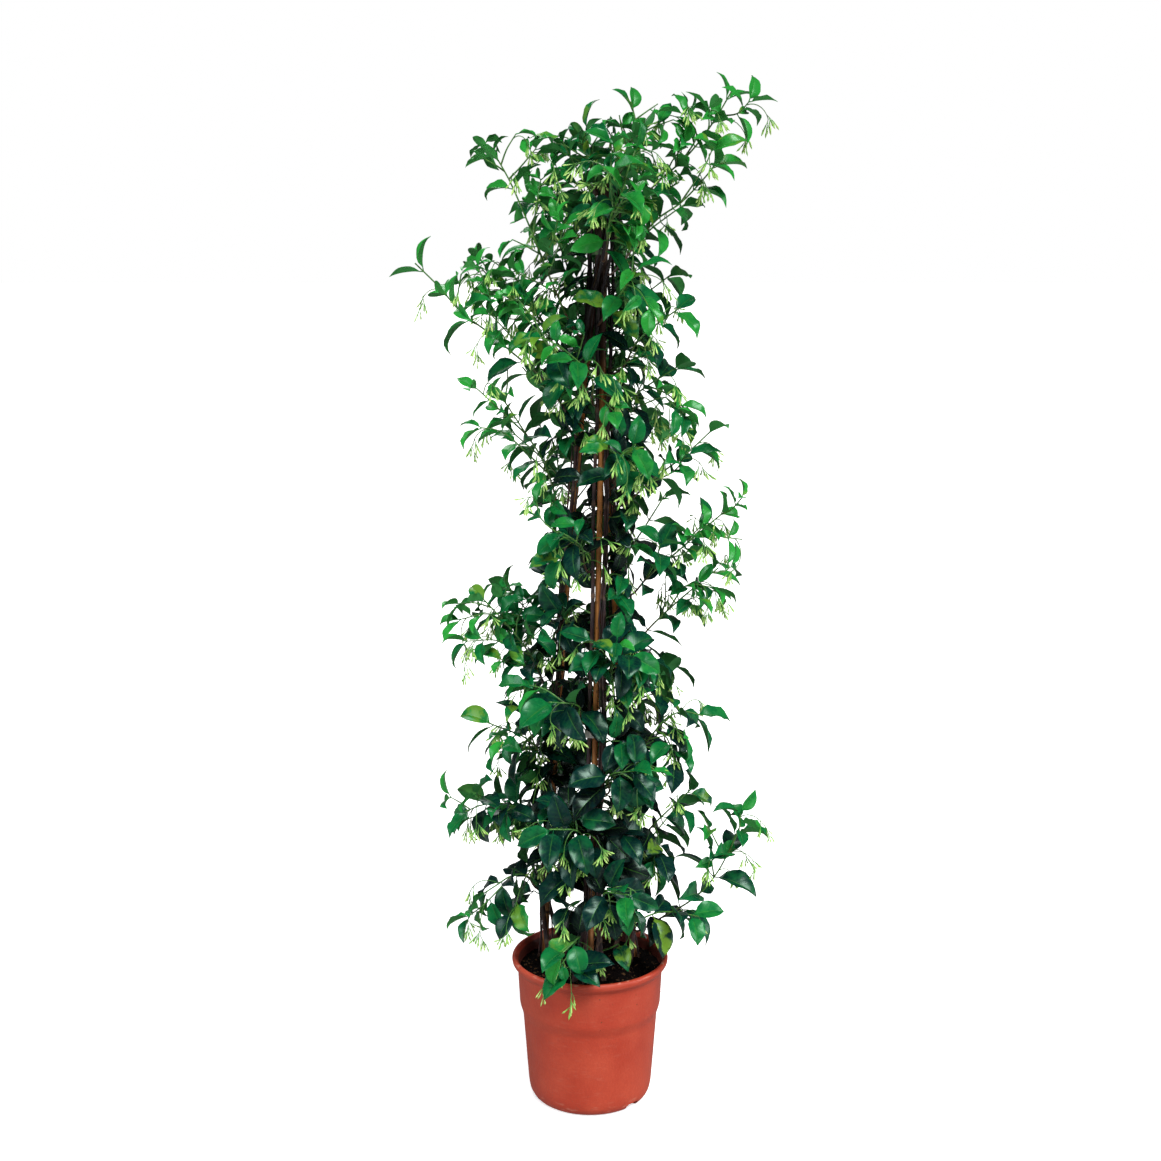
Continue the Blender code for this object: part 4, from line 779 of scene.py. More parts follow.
def grow_plant(space):
    """Every shoot's stem first, then its leaves and buds, each clear of what is there already."""
    draw = random.Random(SEED)
    grown = {}
    for shoot in SHOOTS:
        laid = lay_stem(shoot, space, draw)
        if laid is None:
            raise RuntimeError(f"no room for the stem {shoot.name}")
        grown[shoot.name] = {"shoot": shoot, "route": laid[0], "radii": laid[1], "vine": laid[2]}
    for shoot in SHOOTS:
        entry = grown[shoot.name]
        entry["leaves"] = grow_leaves(shoot, entry["route"], space, draw)
    for shoot in SHOOTS:
        entry = grown[shoot.name]
        entry["bunches"] = grow_bunches(shoot, entry["route"], space, draw)
    return grown


# Node trees: wires that join by plus, minus, times and divide

class Wire:
    """One output of a node. Sums and products of wires and numbers add the math nodes for them."""

    def __init__(self, tree, socket):
        self.tree = tree
        self.socket = socket

    def into(self, socket):
        self.tree.links.new(self.socket, socket)

    def __add__(self, other):
        return calc(self.tree, "ADD", self, other)

    def __radd__(self, other):
        return calc(self.tree, "ADD", other, self)

    def __sub__(self, other):
        return calc(self.tree, "SUBTRACT", self, other)

    def __rsub__(self, other):
        return calc(self.tree, "SUBTRACT", other, self)

    def __mul__(self, other):
        return calc(self.tree, "MULTIPLY", self, other)

    def __rmul__(self, other):
        return calc(self.tree, "MULTIPLY", other, self)

    def __truediv__(self, other):
        return calc(self.tree, "DIVIDE", self, other)


def feed(socket, value):
    """Joins a wire to an input, or sets the input's own value."""
    if isinstance(value, Wire):
        value.into(socket)
    elif socket.type in ("VECTOR", "RGBA") and isinstance(value, (int, float)):
        for i in range(3):
            socket.default_value[i] = value
    elif socket.type == "RGBA":
        socket.default_value = (*value[:3], 1.0)
    else:
        socket.default_value = value


def add_node(tree, kind, inputs=(), **settings):
    """A node with its settings made and its inputs fed, by name or by number."""
    made = tree.nodes.new(kind)
    for key, value in settings.items():
        setattr(made, key, value)
    for key, value in dict(inputs).items():
        feed(made.inputs[key], value)
    return made


def output_of(tree, kind, output=0, inputs=(), **settings):
    """One output of a new node."""
    return Wire(tree, add_node(tree, kind, inputs, **settings).outputs[output])


def calc(tree, operation, *values):
    """One math node, a vector one if any of the values is a vector."""
    vectors = any(v.socket.type in ("VECTOR", "RGBA") if isinstance(v, Wire) else isinstance(v, tuple)
                  for v in values)
    kind = "ShaderNodeVectorMath" if vectors else "ShaderNodeMath"
    return output_of(tree, kind, 0, enumerate(values), operation=operation)


def ease(value, low, high):
    """0 below low, 1 above high, eased between; the other way round if low is the larger."""
    return output_of(value.tree, "ShaderNodeMapRange", "Result",
                     {"Value": value, "From Min": low, "From Max": high}, interpolation_type="SMOOTHSTEP")


def curve_of(value, points):
    """The value read off a smooth curve through points."""
    made = add_node(value.tree, "ShaderNodeFloatCurve", {"Value": value})
    line = made.mapping.curves[0].points
    while len(line) < len(points):
        line.new(0.5, 0.5)
    for spot, place in zip(line, points):
        spot.location = place
    made.mapping.update()
    return Wire(value.tree, made.outputs["Value"])


def blend_colours(factor, low, high):
    return output_of(factor.tree, "ShaderNodeMix", 2, {0: factor, 6: low, 7: high}, data_type="RGBA")


def split(value, kind="XYZ"):
    """The three parts of a vector, or of a colour if kind is Color."""
    made = add_node(value.tree, "ShaderNodeSeparate" + kind, {0: value})
    return [Wire(value.tree, made.outputs[i]) for i in range(3)]


VALUE_TYPES = {int: "Int", float: "Float", tuple: "Vector"}


def new_tree(name, kind, inputs, outputs):
    """A node group. Each named input comes with its value, or with its type if it has no value."""
    tree = bpy.data.node_groups.new(name, kind + "NodeTree")
    for label, value in inputs.items():
        typed = isinstance(value, str)
        socket_type = "NodeSocket" + (value if typed else VALUE_TYPES[type(value)])
        socket = tree.interface.new_socket(name=label, in_out="INPUT", socket_type=socket_type)
        if not typed:
            socket.default_value = value
    for label, value in outputs.items():
        tree.interface.new_socket(name=label, in_out="OUTPUT", socket_type="NodeSocket" + value)
    start = tree.nodes.new("NodeGroupInput")
    given = {label: Wire(tree, start.outputs[label]) for label in inputs}
    end = tree.nodes.new("NodeGroupOutput")
    return tree, given, end.inputs


def stored(tree, name, data_type="FLOAT"):
    """A named attribute of the points or mesh, in Geometry Nodes."""
    return output_of(tree, "GeometryNodeInputNamedAttribute", "Attribute", {"Name": name},
                     data_type=data_type)


def through(geometry, kind, inputs=(), **settings):
    """The geometry passed through one geometry node, as named after its common prefix."""
    made = add_node(geometry.tree, "GeometryNode" + kind, inputs, **settings)
    geometry.into(made.inputs[0])
    return Wire(geometry.tree, made.outputs[0])


def store(geometry, name, value, data_type="FLOAT"):
    return through(geometry, "StoreNamedAttribute", {"Name": name, "Value": value},
                   data_type=data_type, domain="POINT")


def chosen_points(geometry, chosen):
    return through(geometry, "SeparateGeometry", {"Selection": chosen}, domain="POINT")


def swept(lines, sides, radius):
    """A capped round tube along the lines."""
    ring = output_of(lines.tree, "GeometryNodeCurvePrimitiveCircle", "Curve",
                     {"Resolution": sides, "Radius": 1.0})
    return through(lines, "CurveToMesh",
                   {"Profile Curve": ring, "Fill Caps": True, "Scale": radius})


def smooth_in(geometry, material):
    """The mesh shaded smooth, in a material."""
    geometry = through(geometry, "SetShadeSmooth", {"Shade Smooth": True})
    return through(geometry, "SetMaterial", {"Material": material})


def joined(*parts):
    join = parts[0].tree.nodes.new("GeometryNodeJoinGeometry")
    for part in parts:
        part.into(join.inputs["Geometry"])
    return Wire(parts[0].tree, join.outputs["Geometry"])


# Shape of leaves, buds and stems, grown by one Geometry Nodes tree

def arc_group():
    """A point beside an arc that starts along, turns down by bend, and is length long."""
    inputs = {"Base": "Vector", "Along": "Vector", "Up": "Vector", "Length": 0.04, "Bend": 0.5,
              "Share": 0.5, "Sideways": 0.0, "Rise": 0.0}
    tree, given, end = new_tree("beside_an_arc", "Geometry", inputs, {"Place": "Vector"})
    turn = given["Bend"] * given["Share"]
    sine = calc(tree, "SINE", turn)
    cosine = calc(tree, "COSINE", turn)
    scale = given["Length"] / given["Bend"]
    across = calc(tree, "CROSS_PRODUCT", given["Up"], given["Along"])
    upward = given["Along"] * sine + given["Up"] * cosine
    middle = given["Base"] + given["Along"] * (scale * sine) - given["Up"] * (scale * (1.0 - cosine))
    place = middle + across * given["Sideways"] + upward * given["Rise"]
    place.into(end["Place"])
    return tree


def beside_arc(sleeves, group, share, sideways, rise):
    """Places a sleeve's points round the arc that the leaf or bud carries in its attributes."""
    tree = sleeves.tree
    inputs = {"Share": share, "Sideways": sideways, "Rise": rise}
    for label in ("Base", "Along", "Up"):
        inputs[label] = stored(tree, label.lower(), "FLOAT_VECTOR")
    for label in ("Length", "Bend"):
        inputs[label] = stored(tree, label.lower())
    place = output_of(tree, "GeometryNodeGroup", "Place", inputs, node_tree=group)
    return through(sleeves, "SetPosition", {"Position": place})


def sleeves_on(points, sides, rings):
    """A closed sleeve for each point, made real, with its share of length, side and top stored."""
    tree = points.tree
    shape = output_of(tree, "GeometryNodeMeshCylinder", "Mesh",
                      {"Vertices": sides, "Side Segments": rings, "Radius": 1.0, "Depth": 1.0})
    spot = output_of(tree, "GeometryNodeInputPosition")
    side, over, height = split(spot)
    shape = store(shape, "share", height + 0.5)
    shape = store(shape, "side", side)
    shape = store(shape, "over", over)
    points = store(points, "base", spot, "FLOAT_VECTOR")
    copies = through(points, "InstanceOnPoints", {"Instance": shape})
    return through(copies, "RealizeInstances")


# Half widths along a leaf and a bud, as shares of the length and of the widest place
LEAF_OUTLINE = ((0.0, 0.0), (0.105, 0.0), (0.20, 0.52), (0.32, 0.88), (0.46, 1.0), (0.60, 0.95),
                (0.74, 0.73), (0.86, 0.40), (0.94, 0.16), (1.0, 0.015))
BUD_OUTLINE = ((0.0, 0.25), (0.30, 0.25), (0.36, 0.62), (0.46, 0.60), (0.52, 0.50), (0.68, 0.78),
               (0.82, 1.0), (0.91, 0.70), (1.0, 0.08))


def leafy_tree():
    """Turns points of kind 1 into leaves and of kind 2 into buds, and lines of kind 0 into stems."""
    inputs = {"Geometry": "Geometry", "Leaf Sides": 8, "Leaf Rings": 9, "Leaf Thickness": 0.00044,
              "Stalk Radius": 0.0007, "Dish": 0.10, "Bud Sides": 5, "Bud Rings": 5, "Stem Sides": 7,
              "Leaf Material": "Material", "Bud Material": "Material", "Stem Material": "Material"}
    tree, given, end = new_tree("leafy_shoot", "Geometry", inputs, {"Geometry": "Geometry"})
    arc = arc_group()
    kind = stored(tree, "kind")
    share = stored(tree, "share")
    side = stored(tree, "side")
    over = stored(tree, "over")
    width = stored(tree, "width")

    leaves = chosen_points(given["Geometry"], calc(tree, "COMPARE", kind, 1.0, 0.1))
    leaves = sleeves_on(leaves, given["Leaf Sides"], given["Leaf Rings"])
    blade = ease(share, 0.08, 0.17)
    stalk = (1.0 - blade) * given["Stalk Radius"]
    half = stored(tree, "length") * width * curve_of(share, LEAF_OUTLINE)
    fold = stored(tree, "fold") * blade
    wave = calc(tree, "SINE", share * 15.0 + stored(tree, "phase") + side * 1.6) * stored(tree, "wave")
    out = calc(tree, "ABSOLUTE", side)
    sideways = side * half * calc(tree, "COSINE", fold) + side * stalk
    dish = out * (1.0 - out) * given["Dish"] * 4.0
    rise = out * half * calc(tree, "SINE", fold) + half * (dish + wave * out * out)
    tip = calc(tree, "MAXIMUM", share - 0.70, 0.0)
    rise = rise - tip * tip * stored(tree, "length") * stored(tree, "curl")
    rise = rise + over * (stalk + blade * given["Leaf Thickness"] * 0.5)
    leaves = beside_arc(leaves, arc, share, sideways, rise)
    leaves = through(leaves, "Triangulate", quad_method="SHORTEST_DIAGONAL")
    leaves = smooth_in(leaves, given["Leaf Material"])
    creased = calc(tree, "MAXIMUM", calc(tree, "GREATER_THAN", out, 0.96), calc(tree, "LESS_THAN", out, 0.05))
    leaves = through(leaves, "SetShadeSmooth",
                     {"Selection": creased, "Shade Smooth": False}, domain="EDGE")

    buds = chosen_points(given["Geometry"], calc(tree, "COMPARE", kind, 2.0, 0.1))
    buds = sleeves_on(buds, given["Bud Sides"], given["Bud Rings"])
    radius = width * curve_of(share, BUD_OUTLINE)
    buds = smooth_in(beside_arc(buds, arc, share, side * radius, over * radius), given["Bud Material"])

    lines = chosen_points(given["Geometry"], calc(tree, "LESS_THAN", kind, 0.5))
    lines = through(lines, "MeshToCurve")
    lines = through(lines, "SetCurveRadius", {"Radius": width})
    stems = smooth_in(swept(lines, given["Stem Sides"], width), given["Stem Material"])
    joined(leaves, buds, stems).into(end["Geometry"])
    return tree


def tube_tree():
    """A tube along a line, with swollen joints at an even pitch and an uneven surface."""
    inputs = {"Geometry": "Geometry", "Sides": 14, "Step": 0.003, "Joint Pitch": 0.11, "Joint Start": 0.02,
              "Joint Width": 0.0022, "Joint Swell": 0.0005, "Groove": 0.0002, "Roughness": 0.0001,
              "Lump Size": 90.0, "Seed": 0.0, "Material": "Material"}
    tree, given, end = new_tree("jointed_tube", "Geometry", inputs, {"Geometry": "Geometry"})
    line = through(given["Geometry"], "MeshToCurve")
    line = through(line, "CurveSplineType", spline_type="CATMULL_ROM")
    line = through(line, "ResampleCurve", {"Length": given["Step"]}, mode="LENGTH")
    along = output_of(tree, "GeometryNodeSplineParameter", "Length")
    turns = (along - given["Joint Start"]) / given["Joint Pitch"]
    from_joint = calc(tree, "ABSOLUTE", calc(tree, "FRACT", turns + 0.5) - 0.5) * given["Joint Pitch"]
    line = store(line, "from_joint", from_joint)
    near = from_joint / given["Joint Width"]
    ridge = calc(tree, "EXPONENT", near * near * -1.0)
    lip = near - 1.9
    furrow = calc(tree, "EXPONENT", lip * lip * -3.0)
    radius = stored(tree, "width") + ridge * given["Joint Swell"] - furrow * given["Groove"]
    tube = swept(line, given["Sides"], radius)
    spot = output_of(tree, "GeometryNodeInputPosition")
    lumpy = {"Vector": spot, "Scale": given["Lump Size"], "W": given["Seed"], "Detail": 3.0}
    noise = output_of(tree, "ShaderNodeTexNoise", 0, lumpy, noise_dimensions="4D")
    lumps = (noise - 0.5) * given["Roughness"] * 2.0
    normal = output_of(tree, "GeometryNodeInputNormal")
    tube = through(tube, "SetPosition", {"Offset": normal * lumps})
    smooth_in(tube, given["Material"]).into(end["Geometry"])
    return tree


def random_vector(tree, low, high, seed):
    """A vector between low and high, drawn for each point."""
    return output_of(tree, "FunctionNodeRandomValue", 0, {0: low, 1: high, "Seed": seed},
                     data_type="FLOAT_VECTOR")


def crumb_tree():
    """Crumbs and chips strewn over the top of the compost."""
    inputs = {"Geometry": "Geometry", "Crumbs per Square Metre": 60000.0, "Smallest": 0.0006,
              "Largest": 0.0024, "Seed": 4, "Material": "Material"}
    tree, given, end = new_tree("strewn_crumbs", "Geometry", inputs, {"Geometry": "Geometry"})
    level = split(output_of(tree, "GeometryNodeInputNormal"))[2]
    points = output_of(tree, "GeometryNodeDistributePointsOnFaces", "Points",
                       {"Mesh": given["Geometry"], "Selection": calc(tree, "GREATER_THAN", level, 0.5),
                        "Density": given["Crumbs per Square Metre"], "Seed": given["Seed"]})
    grain = output_of(tree, "GeometryNodeMeshIcoSphere", "Mesh", {"Radius": 1.0, "Subdivisions": 1})
    shade = output_of(tree, "FunctionNodeRandomValue", 1, data_type="FLOAT")
    size = random_vector(tree, (0.45, 0.35, 0.25), (1.6, 1.0, 0.7), 11)
    span = calc(tree, "POWER", shade, 3.0) * (given["Largest"] - given["Smallest"]) + given["Smallest"]
    turn = random_vector(tree, (-0.6, -0.6, 0.0), (0.6, 0.6, 6.283), 12)
    points = store(points, "chip", shade)
    crumbs = through(points, "InstanceOnPoints",
                     {"Instance": grain, "Rotation": turn, "Scale": size * span})
    crumbs = through(crumbs, "RealizeInstances")
    crumbs = through(crumbs, "SetMaterial", {"Material": given["Material"]})
    joined(crumbs, given["Geometry"]).into(end["Geometry"])
    return tree


# Further growth that only the looks have

LOOKS_SEED = 31
BOX_SPARE = 0.0025
EXTRA_TRIES = 10

# Twigs and bunches along the shoots of the CAD model
TWIG_LENGTHS = (0.026, 0.056)
TWIG_LEAF = (0.74, 1.02)
TWIG_SPREADS = (0.7, 1.0, 1.1)
TWIG_POINTS = 7
TWIG_THICK = 0.8
TWIG_SWAY = 0.30
TWIG_LIFTS = (-0.05, 0.30)
TWIG_SPOTS = (0.2, 0.8)
TWIG_OPENS = (0.6, 1.0)
TWIG_PAIRS = (1, 2, 2, 3)
SPRAY_POINTS = 10
SPRAY_THICK = 0.85
SPRAY_SHAKE = 0.0015
SPRAY_HANG = 0.15
TWIG_BUNCHES = 0.42
EXTRA_BUNCHES = 5
EXTRA_PEDUNCLES = (0.020, 0.046)
CROWN_FROM = 1.00
CROWN_TWIGS = 3

# Spurs straight off the old stems: all along them, in the dark core, and close together high up in it
SPUR_FROM = 0.195
SPUR_STEP = 0.019
SPUR_LENGTHS = (0.010, 0.046)
SPUR_LEAF = (0.039, 0.055)
SPUR_BUNCHES = 0.42
CORE_RANGE = (0.30, 1.06)
CORE_STEP = 0.021
CORE_LEAF = (0.040, 0.054)
CORE_DEEP_RANGE = (0.86, 1.075)
CORE_DEEP_STEP = 0.007
CORE_DEEP_TWIG = 0.014
CORE_DEEP_LEAF = (0.032, 0.044)
CORE_TURN = 3.1
SPUR_TURN = 1.5
SPUR_PAIRS = (1, 2)
SPUR_RISES = (0.1, 0.8)
SPUR_SIZES = (0.85, 1.1)
SPUR_HANGS = (0.3, 0.7)
SPUR_LIFT = 0.2
# How far below the vine's top each kind ends, and how unevenly spurs follow each other
CORE_BELOW_TOP = 0.02
CORE_DEEP_BELOW_TOP = 0.01
SPUR_BELOW_TOP = 0.03
UNEVEN = (0.6, 1.4)
# Heights between which leaves change from the lower kind to the upper kind
LOWER_PART = (0.30, 0.85)

# How far the dense part of the plant reaches at each height: height, left, right
DENSE_BODY = (
    (0.16, -0.100, 0.050), (0.21, -0.115, 0.050), (0.28, -0.066, 0.082), (0.36, -0.150, 0.068),
    (0.44, -0.115, 0.118), (0.51, -0.122, 0.105), (0.58, -0.130, 0.055), (0.655, -0.080, 0.050),
    (0.73, -0.072, 0.060), (0.81, -0.044, 0.106), (0.865, -0.060, 0.062), (0.93, -0.100, 0.095),
    (1.00, -0.122, 0.062), (1.06, -0.062, 0.068), (1.11, -0.080, 0.112), (1.145, -0.060, 0.115),
    (1.165, 0.020, 0.115), (1.192, 0.110, 0.150),
)
# Leafy wings beyond it: lowest, highest, left, right
WINGS = (
    (0.60, 0.69, 0.080, 0.178), (0.69, 0.775, 0.112, 0.178), (0.535, 0.665, -0.172, -0.070),
    (0.33, 0.42, -0.178, -0.080), (0.27, 0.38, 0.120, 0.206), (1.10, 1.15, -0.138, -0.060),
    (0.94, 1.01, -0.150, -0.080), (0.195, 0.26, -0.178, -0.100), (0.84, 0.90, -0.145, -0.090),
)
# Places where the photograph looks in on a cane: its name, lowest, highest, left, right
WINDOWS = (
    ("front", 0.395, 0.468, -0.008, 0.010), ("front", 0.600, 0.660, -0.002, 0.014),
    ("front", 0.715, 0.800, 0.000, 0.020), ("front", 0.225, 0.290, -0.008, 0.010),
    ("left", 0.190, 0.270, -0.064, -0.046), ("left", 0.730, 0.800, -0.024, -0.006),
    ("front", 0.890, 1.040, -0.004, 0.026), ("front", 0.500, 0.545, -0.006, 0.010),
)
# Sprays off the stems of shoots: shoot, place on its stem, way and tip, leaf pairs, leaf length, bunches
Spray = namedtuple("Spray", "shoot index way pairs leaf bunches")
SPRAYS = (
    Spray("top_right_high", 7, ((0.160, -0.036, 1.168), (0.172, -0.038, 1.180)), 3, 0.036, 1),
    Spray("top_right_high", 5, ((0.112, -0.032, 1.150), (0.098, -0.034, 1.172)), 3, 0.038, 1),
    Spray("top_right_high", 6, ((0.128, -0.046, 1.150), (0.126, -0.056, 1.168)), 2, 0.034, 1),
    Spray("top_right_low", 5, ((0.128, -0.054, 1.112), (0.136, -0.062, 1.130)), 2, 0.040, 1),
    Spray("top_middle_left", 5, ((-0.008, 0.004, 1.138), (-0.004, -0.006, 1.152)), 2, 0.036, 1),
    Spray("top_left", 5, ((-0.060, -0.020, 1.066), (-0.054, -0.030, 1.098)), 3, 0.036, 1),
    Spray("top_left", 7, ((-0.076, -0.030, 1.112), (-0.060, -0.036, 1.130)), 2, 0.034, 1),
    Spray("top_left", 3, ((-0.058, -0.030, 0.988), (-0.082, -0.040, 1.000)), 3, 0.036, 1),
    Spray("left_upper", 3, ((-0.068, 0.000, 0.962), (-0.080, -0.010, 0.990)), 3, 0.038, 1),
    Spray("left_upper_front", 4, ((-0.064, -0.062, 0.950), (-0.084, -0.060, 0.975)), 2, 0.036, 1),
    Spray("top_middle_left", 3, ((-0.020, 0.000, 1.120), (-0.030, -0.010, 1.140)), 2, 0.036, 1),
    Spray("left_mid_low", 4, ((-0.104, -0.030, 0.578), (-0.142, -0.040, 0.580)), 4, 0.037, 2),
    Spray("left_mid_low", 6, ((-0.118, -0.012, 0.606), (-0.150, -0.014, 0.600)), 3, 0.034, 1),
    Spray("left_upper", 3, ((-0.088, -0.004, 0.985), (-0.118, -0.012, 1.010)), 3, 0.036, 1),
    Spray("left_long", 3, ((-0.088, -0.034, 0.930), (-0.112, -0.046, 0.958)), 3, 0.038, 2),
    Spray("left_long", 5, ((-0.128, -0.036, 0.965), (-0.140, -0.046, 0.992)), 3, 0.034, 1),
    Spray("left_mid_high", 6, ((-0.108, -0.040, 0.850), (-0.126, -0.048, 0.868)), 3, 0.035, 1),
    Spray("left_mid_high", 4, ((-0.088, -0.040, 0.812), (-0.114, -0.050, 0.820)), 3, 0.035, 1),
    Spray("right_upper_low", 2, ((0.078, -0.024, 0.852), (0.092, -0.034, 0.842)), 2, 0.040, 1),
    Spray("right_mid_high", 3, ((0.092, -0.034, 0.780), (0.104, -0.046, 0.800)), 3, 0.040, 1),
    Spray("right_mid", 4, ((0.104, -0.046, 0.690), (0.126, -0.060, 0.716)), 3, 0.034, 1),
    Spray("right_mid_low", 4, ((0.112, -0.012, 0.640), (0.138, -0.022, 0.640)), 3, 0.034, 2),
    Spray("low_left_under", 4, ((-0.128, -0.034, 0.264), (-0.148, -0.042, 0.250)), 3, 0.036, 2),
    Spray("low_left_under", 3, ((-0.096, -0.030, 0.262), (-0.104, -0.044, 0.236)), 2, 0.042, 1),
    Spray("low_right", 7, ((0.176, -0.036, 0.352), (0.176, -0.044, 0.374)), 3, 0.040, 1),
    Spray("low_left_high", 3, ((-0.074, -0.018, 0.474), (-0.080, -0.034, 0.500)), 3, 0.042, 1),
    Spray("right_low_high", 4, ((0.090, -0.034, 0.462), (0.098, -0.046, 0.440)), 3, 0.042, 1),
    Spray("right_upper_low", 4, ((0.088, -0.020, 0.862), (0.104, -0.030, 0.842)), 3, 0.038, 1),
    Spray("low_right_high", 3, ((0.082, -0.020, 0.330), (0.078, -0.034, 0.312)), 3, 0.042, 1),
    Spray("right_mid", 3, ((0.070, -0.028, 0.672), (0.074, -0.042, 0.694)), 3, 0.040, 1),
    Spray("front_high_left", 3, ((-0.050, -0.070, 0.722), (-0.060, -0.060, 0.742)), 2, 0.038, 1),
)
# How far the dense part may reach towards the front and the back
DENSE_DEPTH = 0.112
# How the thin winding stems climb, and step outwards and sideways round what is in their way
TWINER_DEPTH = 0.006
TWINER_TAPER = 0.6
TWINER_STEP = 0.014
TWINER_REACH = 0.0085
TWINER_WIDEN = 0.0014
TWINER_TRIES = 6
TWINER_ASIDES = tuple(math.radians(i * 9.0) for i in (0, 1, -1, 2, -2, 3, -3))
# Each thin winding stem: cane, first side in degrees, turns in a metre, top height, radius
TWINERS = (
    ("front", -90.0, 2.6, 1.060, 0.0014), ("front", 70.0, -2.1, 1.030, 0.0011),
    ("left", 200.0, 2.2, 1.050, 0.0013), ("left", 20.0, -2.8, 0.980, 0.0010),
    ("right", -40.0, -2.4, 1.065, 0.0014), ("right", 130.0, 2.9, 0.940, 0.0010),
    ("front", 180.0, 1.4, 1.000, 0.0012), ("right", -110.0, 1.7, 1.020, 0.0012),
    ("left", -70.0, -1.5, 1.035, 0.0012), ("front", 30.0, 2.4, 1.070, 0.0015),
    ("front", -150.0, -2.0, 1.060, 0.0013), ("right", 60.0, 2.0, 1.070, 0.0014),
    ("left", 110.0, 1.8, 1.060, 0.0014), ("right", -170.0, -2.6, 1.050, 0.0012),
)
# The sprig that hangs over the rim in front: its way from the stem, leaf tips, ways of bud stalks
RIM_ROOT = ("vine_front_left", 0.192)
RIM_WAY = ((-0.018, -0.076, 0.210), (-0.0233, -0.0930, 0.2030))
RIM_LEAVES = ((-0.0550, -0.1160, 0.1720), (0.0290, -0.1040, 0.2130), (0.0130, -0.1180, 0.1900))
RIM_POINTS = 8
RIM_LEAF_BEND = 0.35
RIM_BUNCHES = (((0.08, -0.55, -0.83), 0.040, 0.60), ((-0.88, -0.42, 0.10), 0.042, 1.25))


class Room:
    """Asks the shared space whether a mesh is clear, and whether it stays inside the CAD's box."""

    def __init__(self, space, box):
        self.space = space
        self.low = box[0] + Vector((BOX_SPARE,) * 3)
        self.high = box[1] - Vector((BOX_SPARE,) * 3)
        self.fenced = True

    def takes(self, mesh, owner=None, own_kinds=()):
        for point in mesh[0]:
            if any(point[i] < self.low[i] or point[i] > self.high[i] for i in range(3)):
                return False
            if in_window(point) or (self.fenced and not in_dense_body(point)):
                return False
        return self.space.free(mesh, owner, own_kinds)


def in_dense_body(point):
    """True where the photograph shows the plant's leafy mass, between the heights of DENSE_BODY."""
    if abs(point.y) > DENSE_DEPTH:
        return False
    for lowest, highest, left, right in WINGS:
        if lowest <= point.z <= highest and left <= point.x <= right:
            return True
    for low, high in zip(DENSE_BODY, DENSE_BODY[1:]):
        if low[0] <= point.z <= high[0]:
            share = (point.z - low[0]) / (high[0] - low[0])
            return lerp(low[1], high[1], share) <= point.x <= lerp(low[2], high[2], share)
    return point.z > DENSE_BODY[0][0]


def in_window(point):
    """True where a leaf would hide a cane that the photograph shows."""
    for cane, lowest, highest, left, right in WINDOWS:
        if lowest <= point.z <= highest and left <= point.x <= right and point.y < cane_at(cane, point.z).y:
            return True
    return False


def stem_radii(count, share=1.0):
    """Radii from a stem's root to its tip, as a share of a shoot's."""
    return [lerp(STEM_ROOT_RADIUS, STEM_TIP_RADIUS, i / (count - 1)) * share for i in range(count)]


def lay_twig(start, way, length, hang, room, owner, draw):
    """A short curved side stem from a point, or None if there is no room for it."""
    side = way.cross(UP)
    side = side.normalized() if side.length > 0.01 else Vector((1.0, 0.0, 0.0))
    radii = stem_radii(TWIG_POINTS, TWIG_THICK)
    for _ in range(EXTRA_TRIES):
        sway = draw.uniform(-TWIG_SWAY, TWIG_SWAY)
        lift = draw.uniform(*TWIG_LIFTS) - hang * 0.5
        middle = start + way * length * 0.5 + side * sway * length * 0.2
        tip = start + way * length * 0.95 + side * sway * length + Vector((0.0, 0.0, lift * length))
        route = smooth_route([start, middle, tip], TWIG_POINTS)
        if room.takes(tube_mesh(route[1:], [r + CLEAR for r in radii[1:]]), owner, OWN_KINDS):
            room.space.add(tube_mesh(route, radii), owner, "stem")
            return route, radii
    return None


def dress_twig(route, pairs, size, hang, room, owner, draw, first=2):
    """Pairs of leaves from the twig's tip down, as far as its point number first."""
    leaves = []
    turn = draw.uniform(0.0, math.pi)
    for k in range(pairs):
        index = len(route) - 1 - k * 2
        if index < first:
            break
        stem_way = (route[index] - route[index - 1]).normalized()
        leaves += grow_pair(route[index], stem_way, turn, k, TWIG_SPREADS[min(k, 2)], hang, size, TWIG_HABIT,
                            owner, room.takes, room.space, draw)
    return leaves


def hang_bunch(place, stem_way, entry, room, owner, draw):
    """One more stalk of buds, if there is room."""
    for _ in range(EXTRA_TRIES * 2):
        angle = draw.uniform(0.0, 2.0 * math.pi)
        along = leaf_way(stem_way, angle, BUNCH_OPENS, BUNCH_LIFTS)
        up = UP - along * along.z
        if up.length < STEEPEST:
            continue
        length = draw.uniform(*EXTRA_PEDUNCLES)
        bunch = Bunch(place, along, up.normalized(), length, PEDUNCLE_BEND, [1.0, 1.0, 1.0])
        if seat_bunch(bunch, owner, room.takes, room.space):
            entry["bunches"].append(bunch)
            return


def hang_tip_bunch(route, entry, room, owner, draw):
    """A bunch of buds near the end of a twig."""
    hang_bunch(route[-2], (route[-1] - route[-3]).normalized(), entry, room, owner, draw)


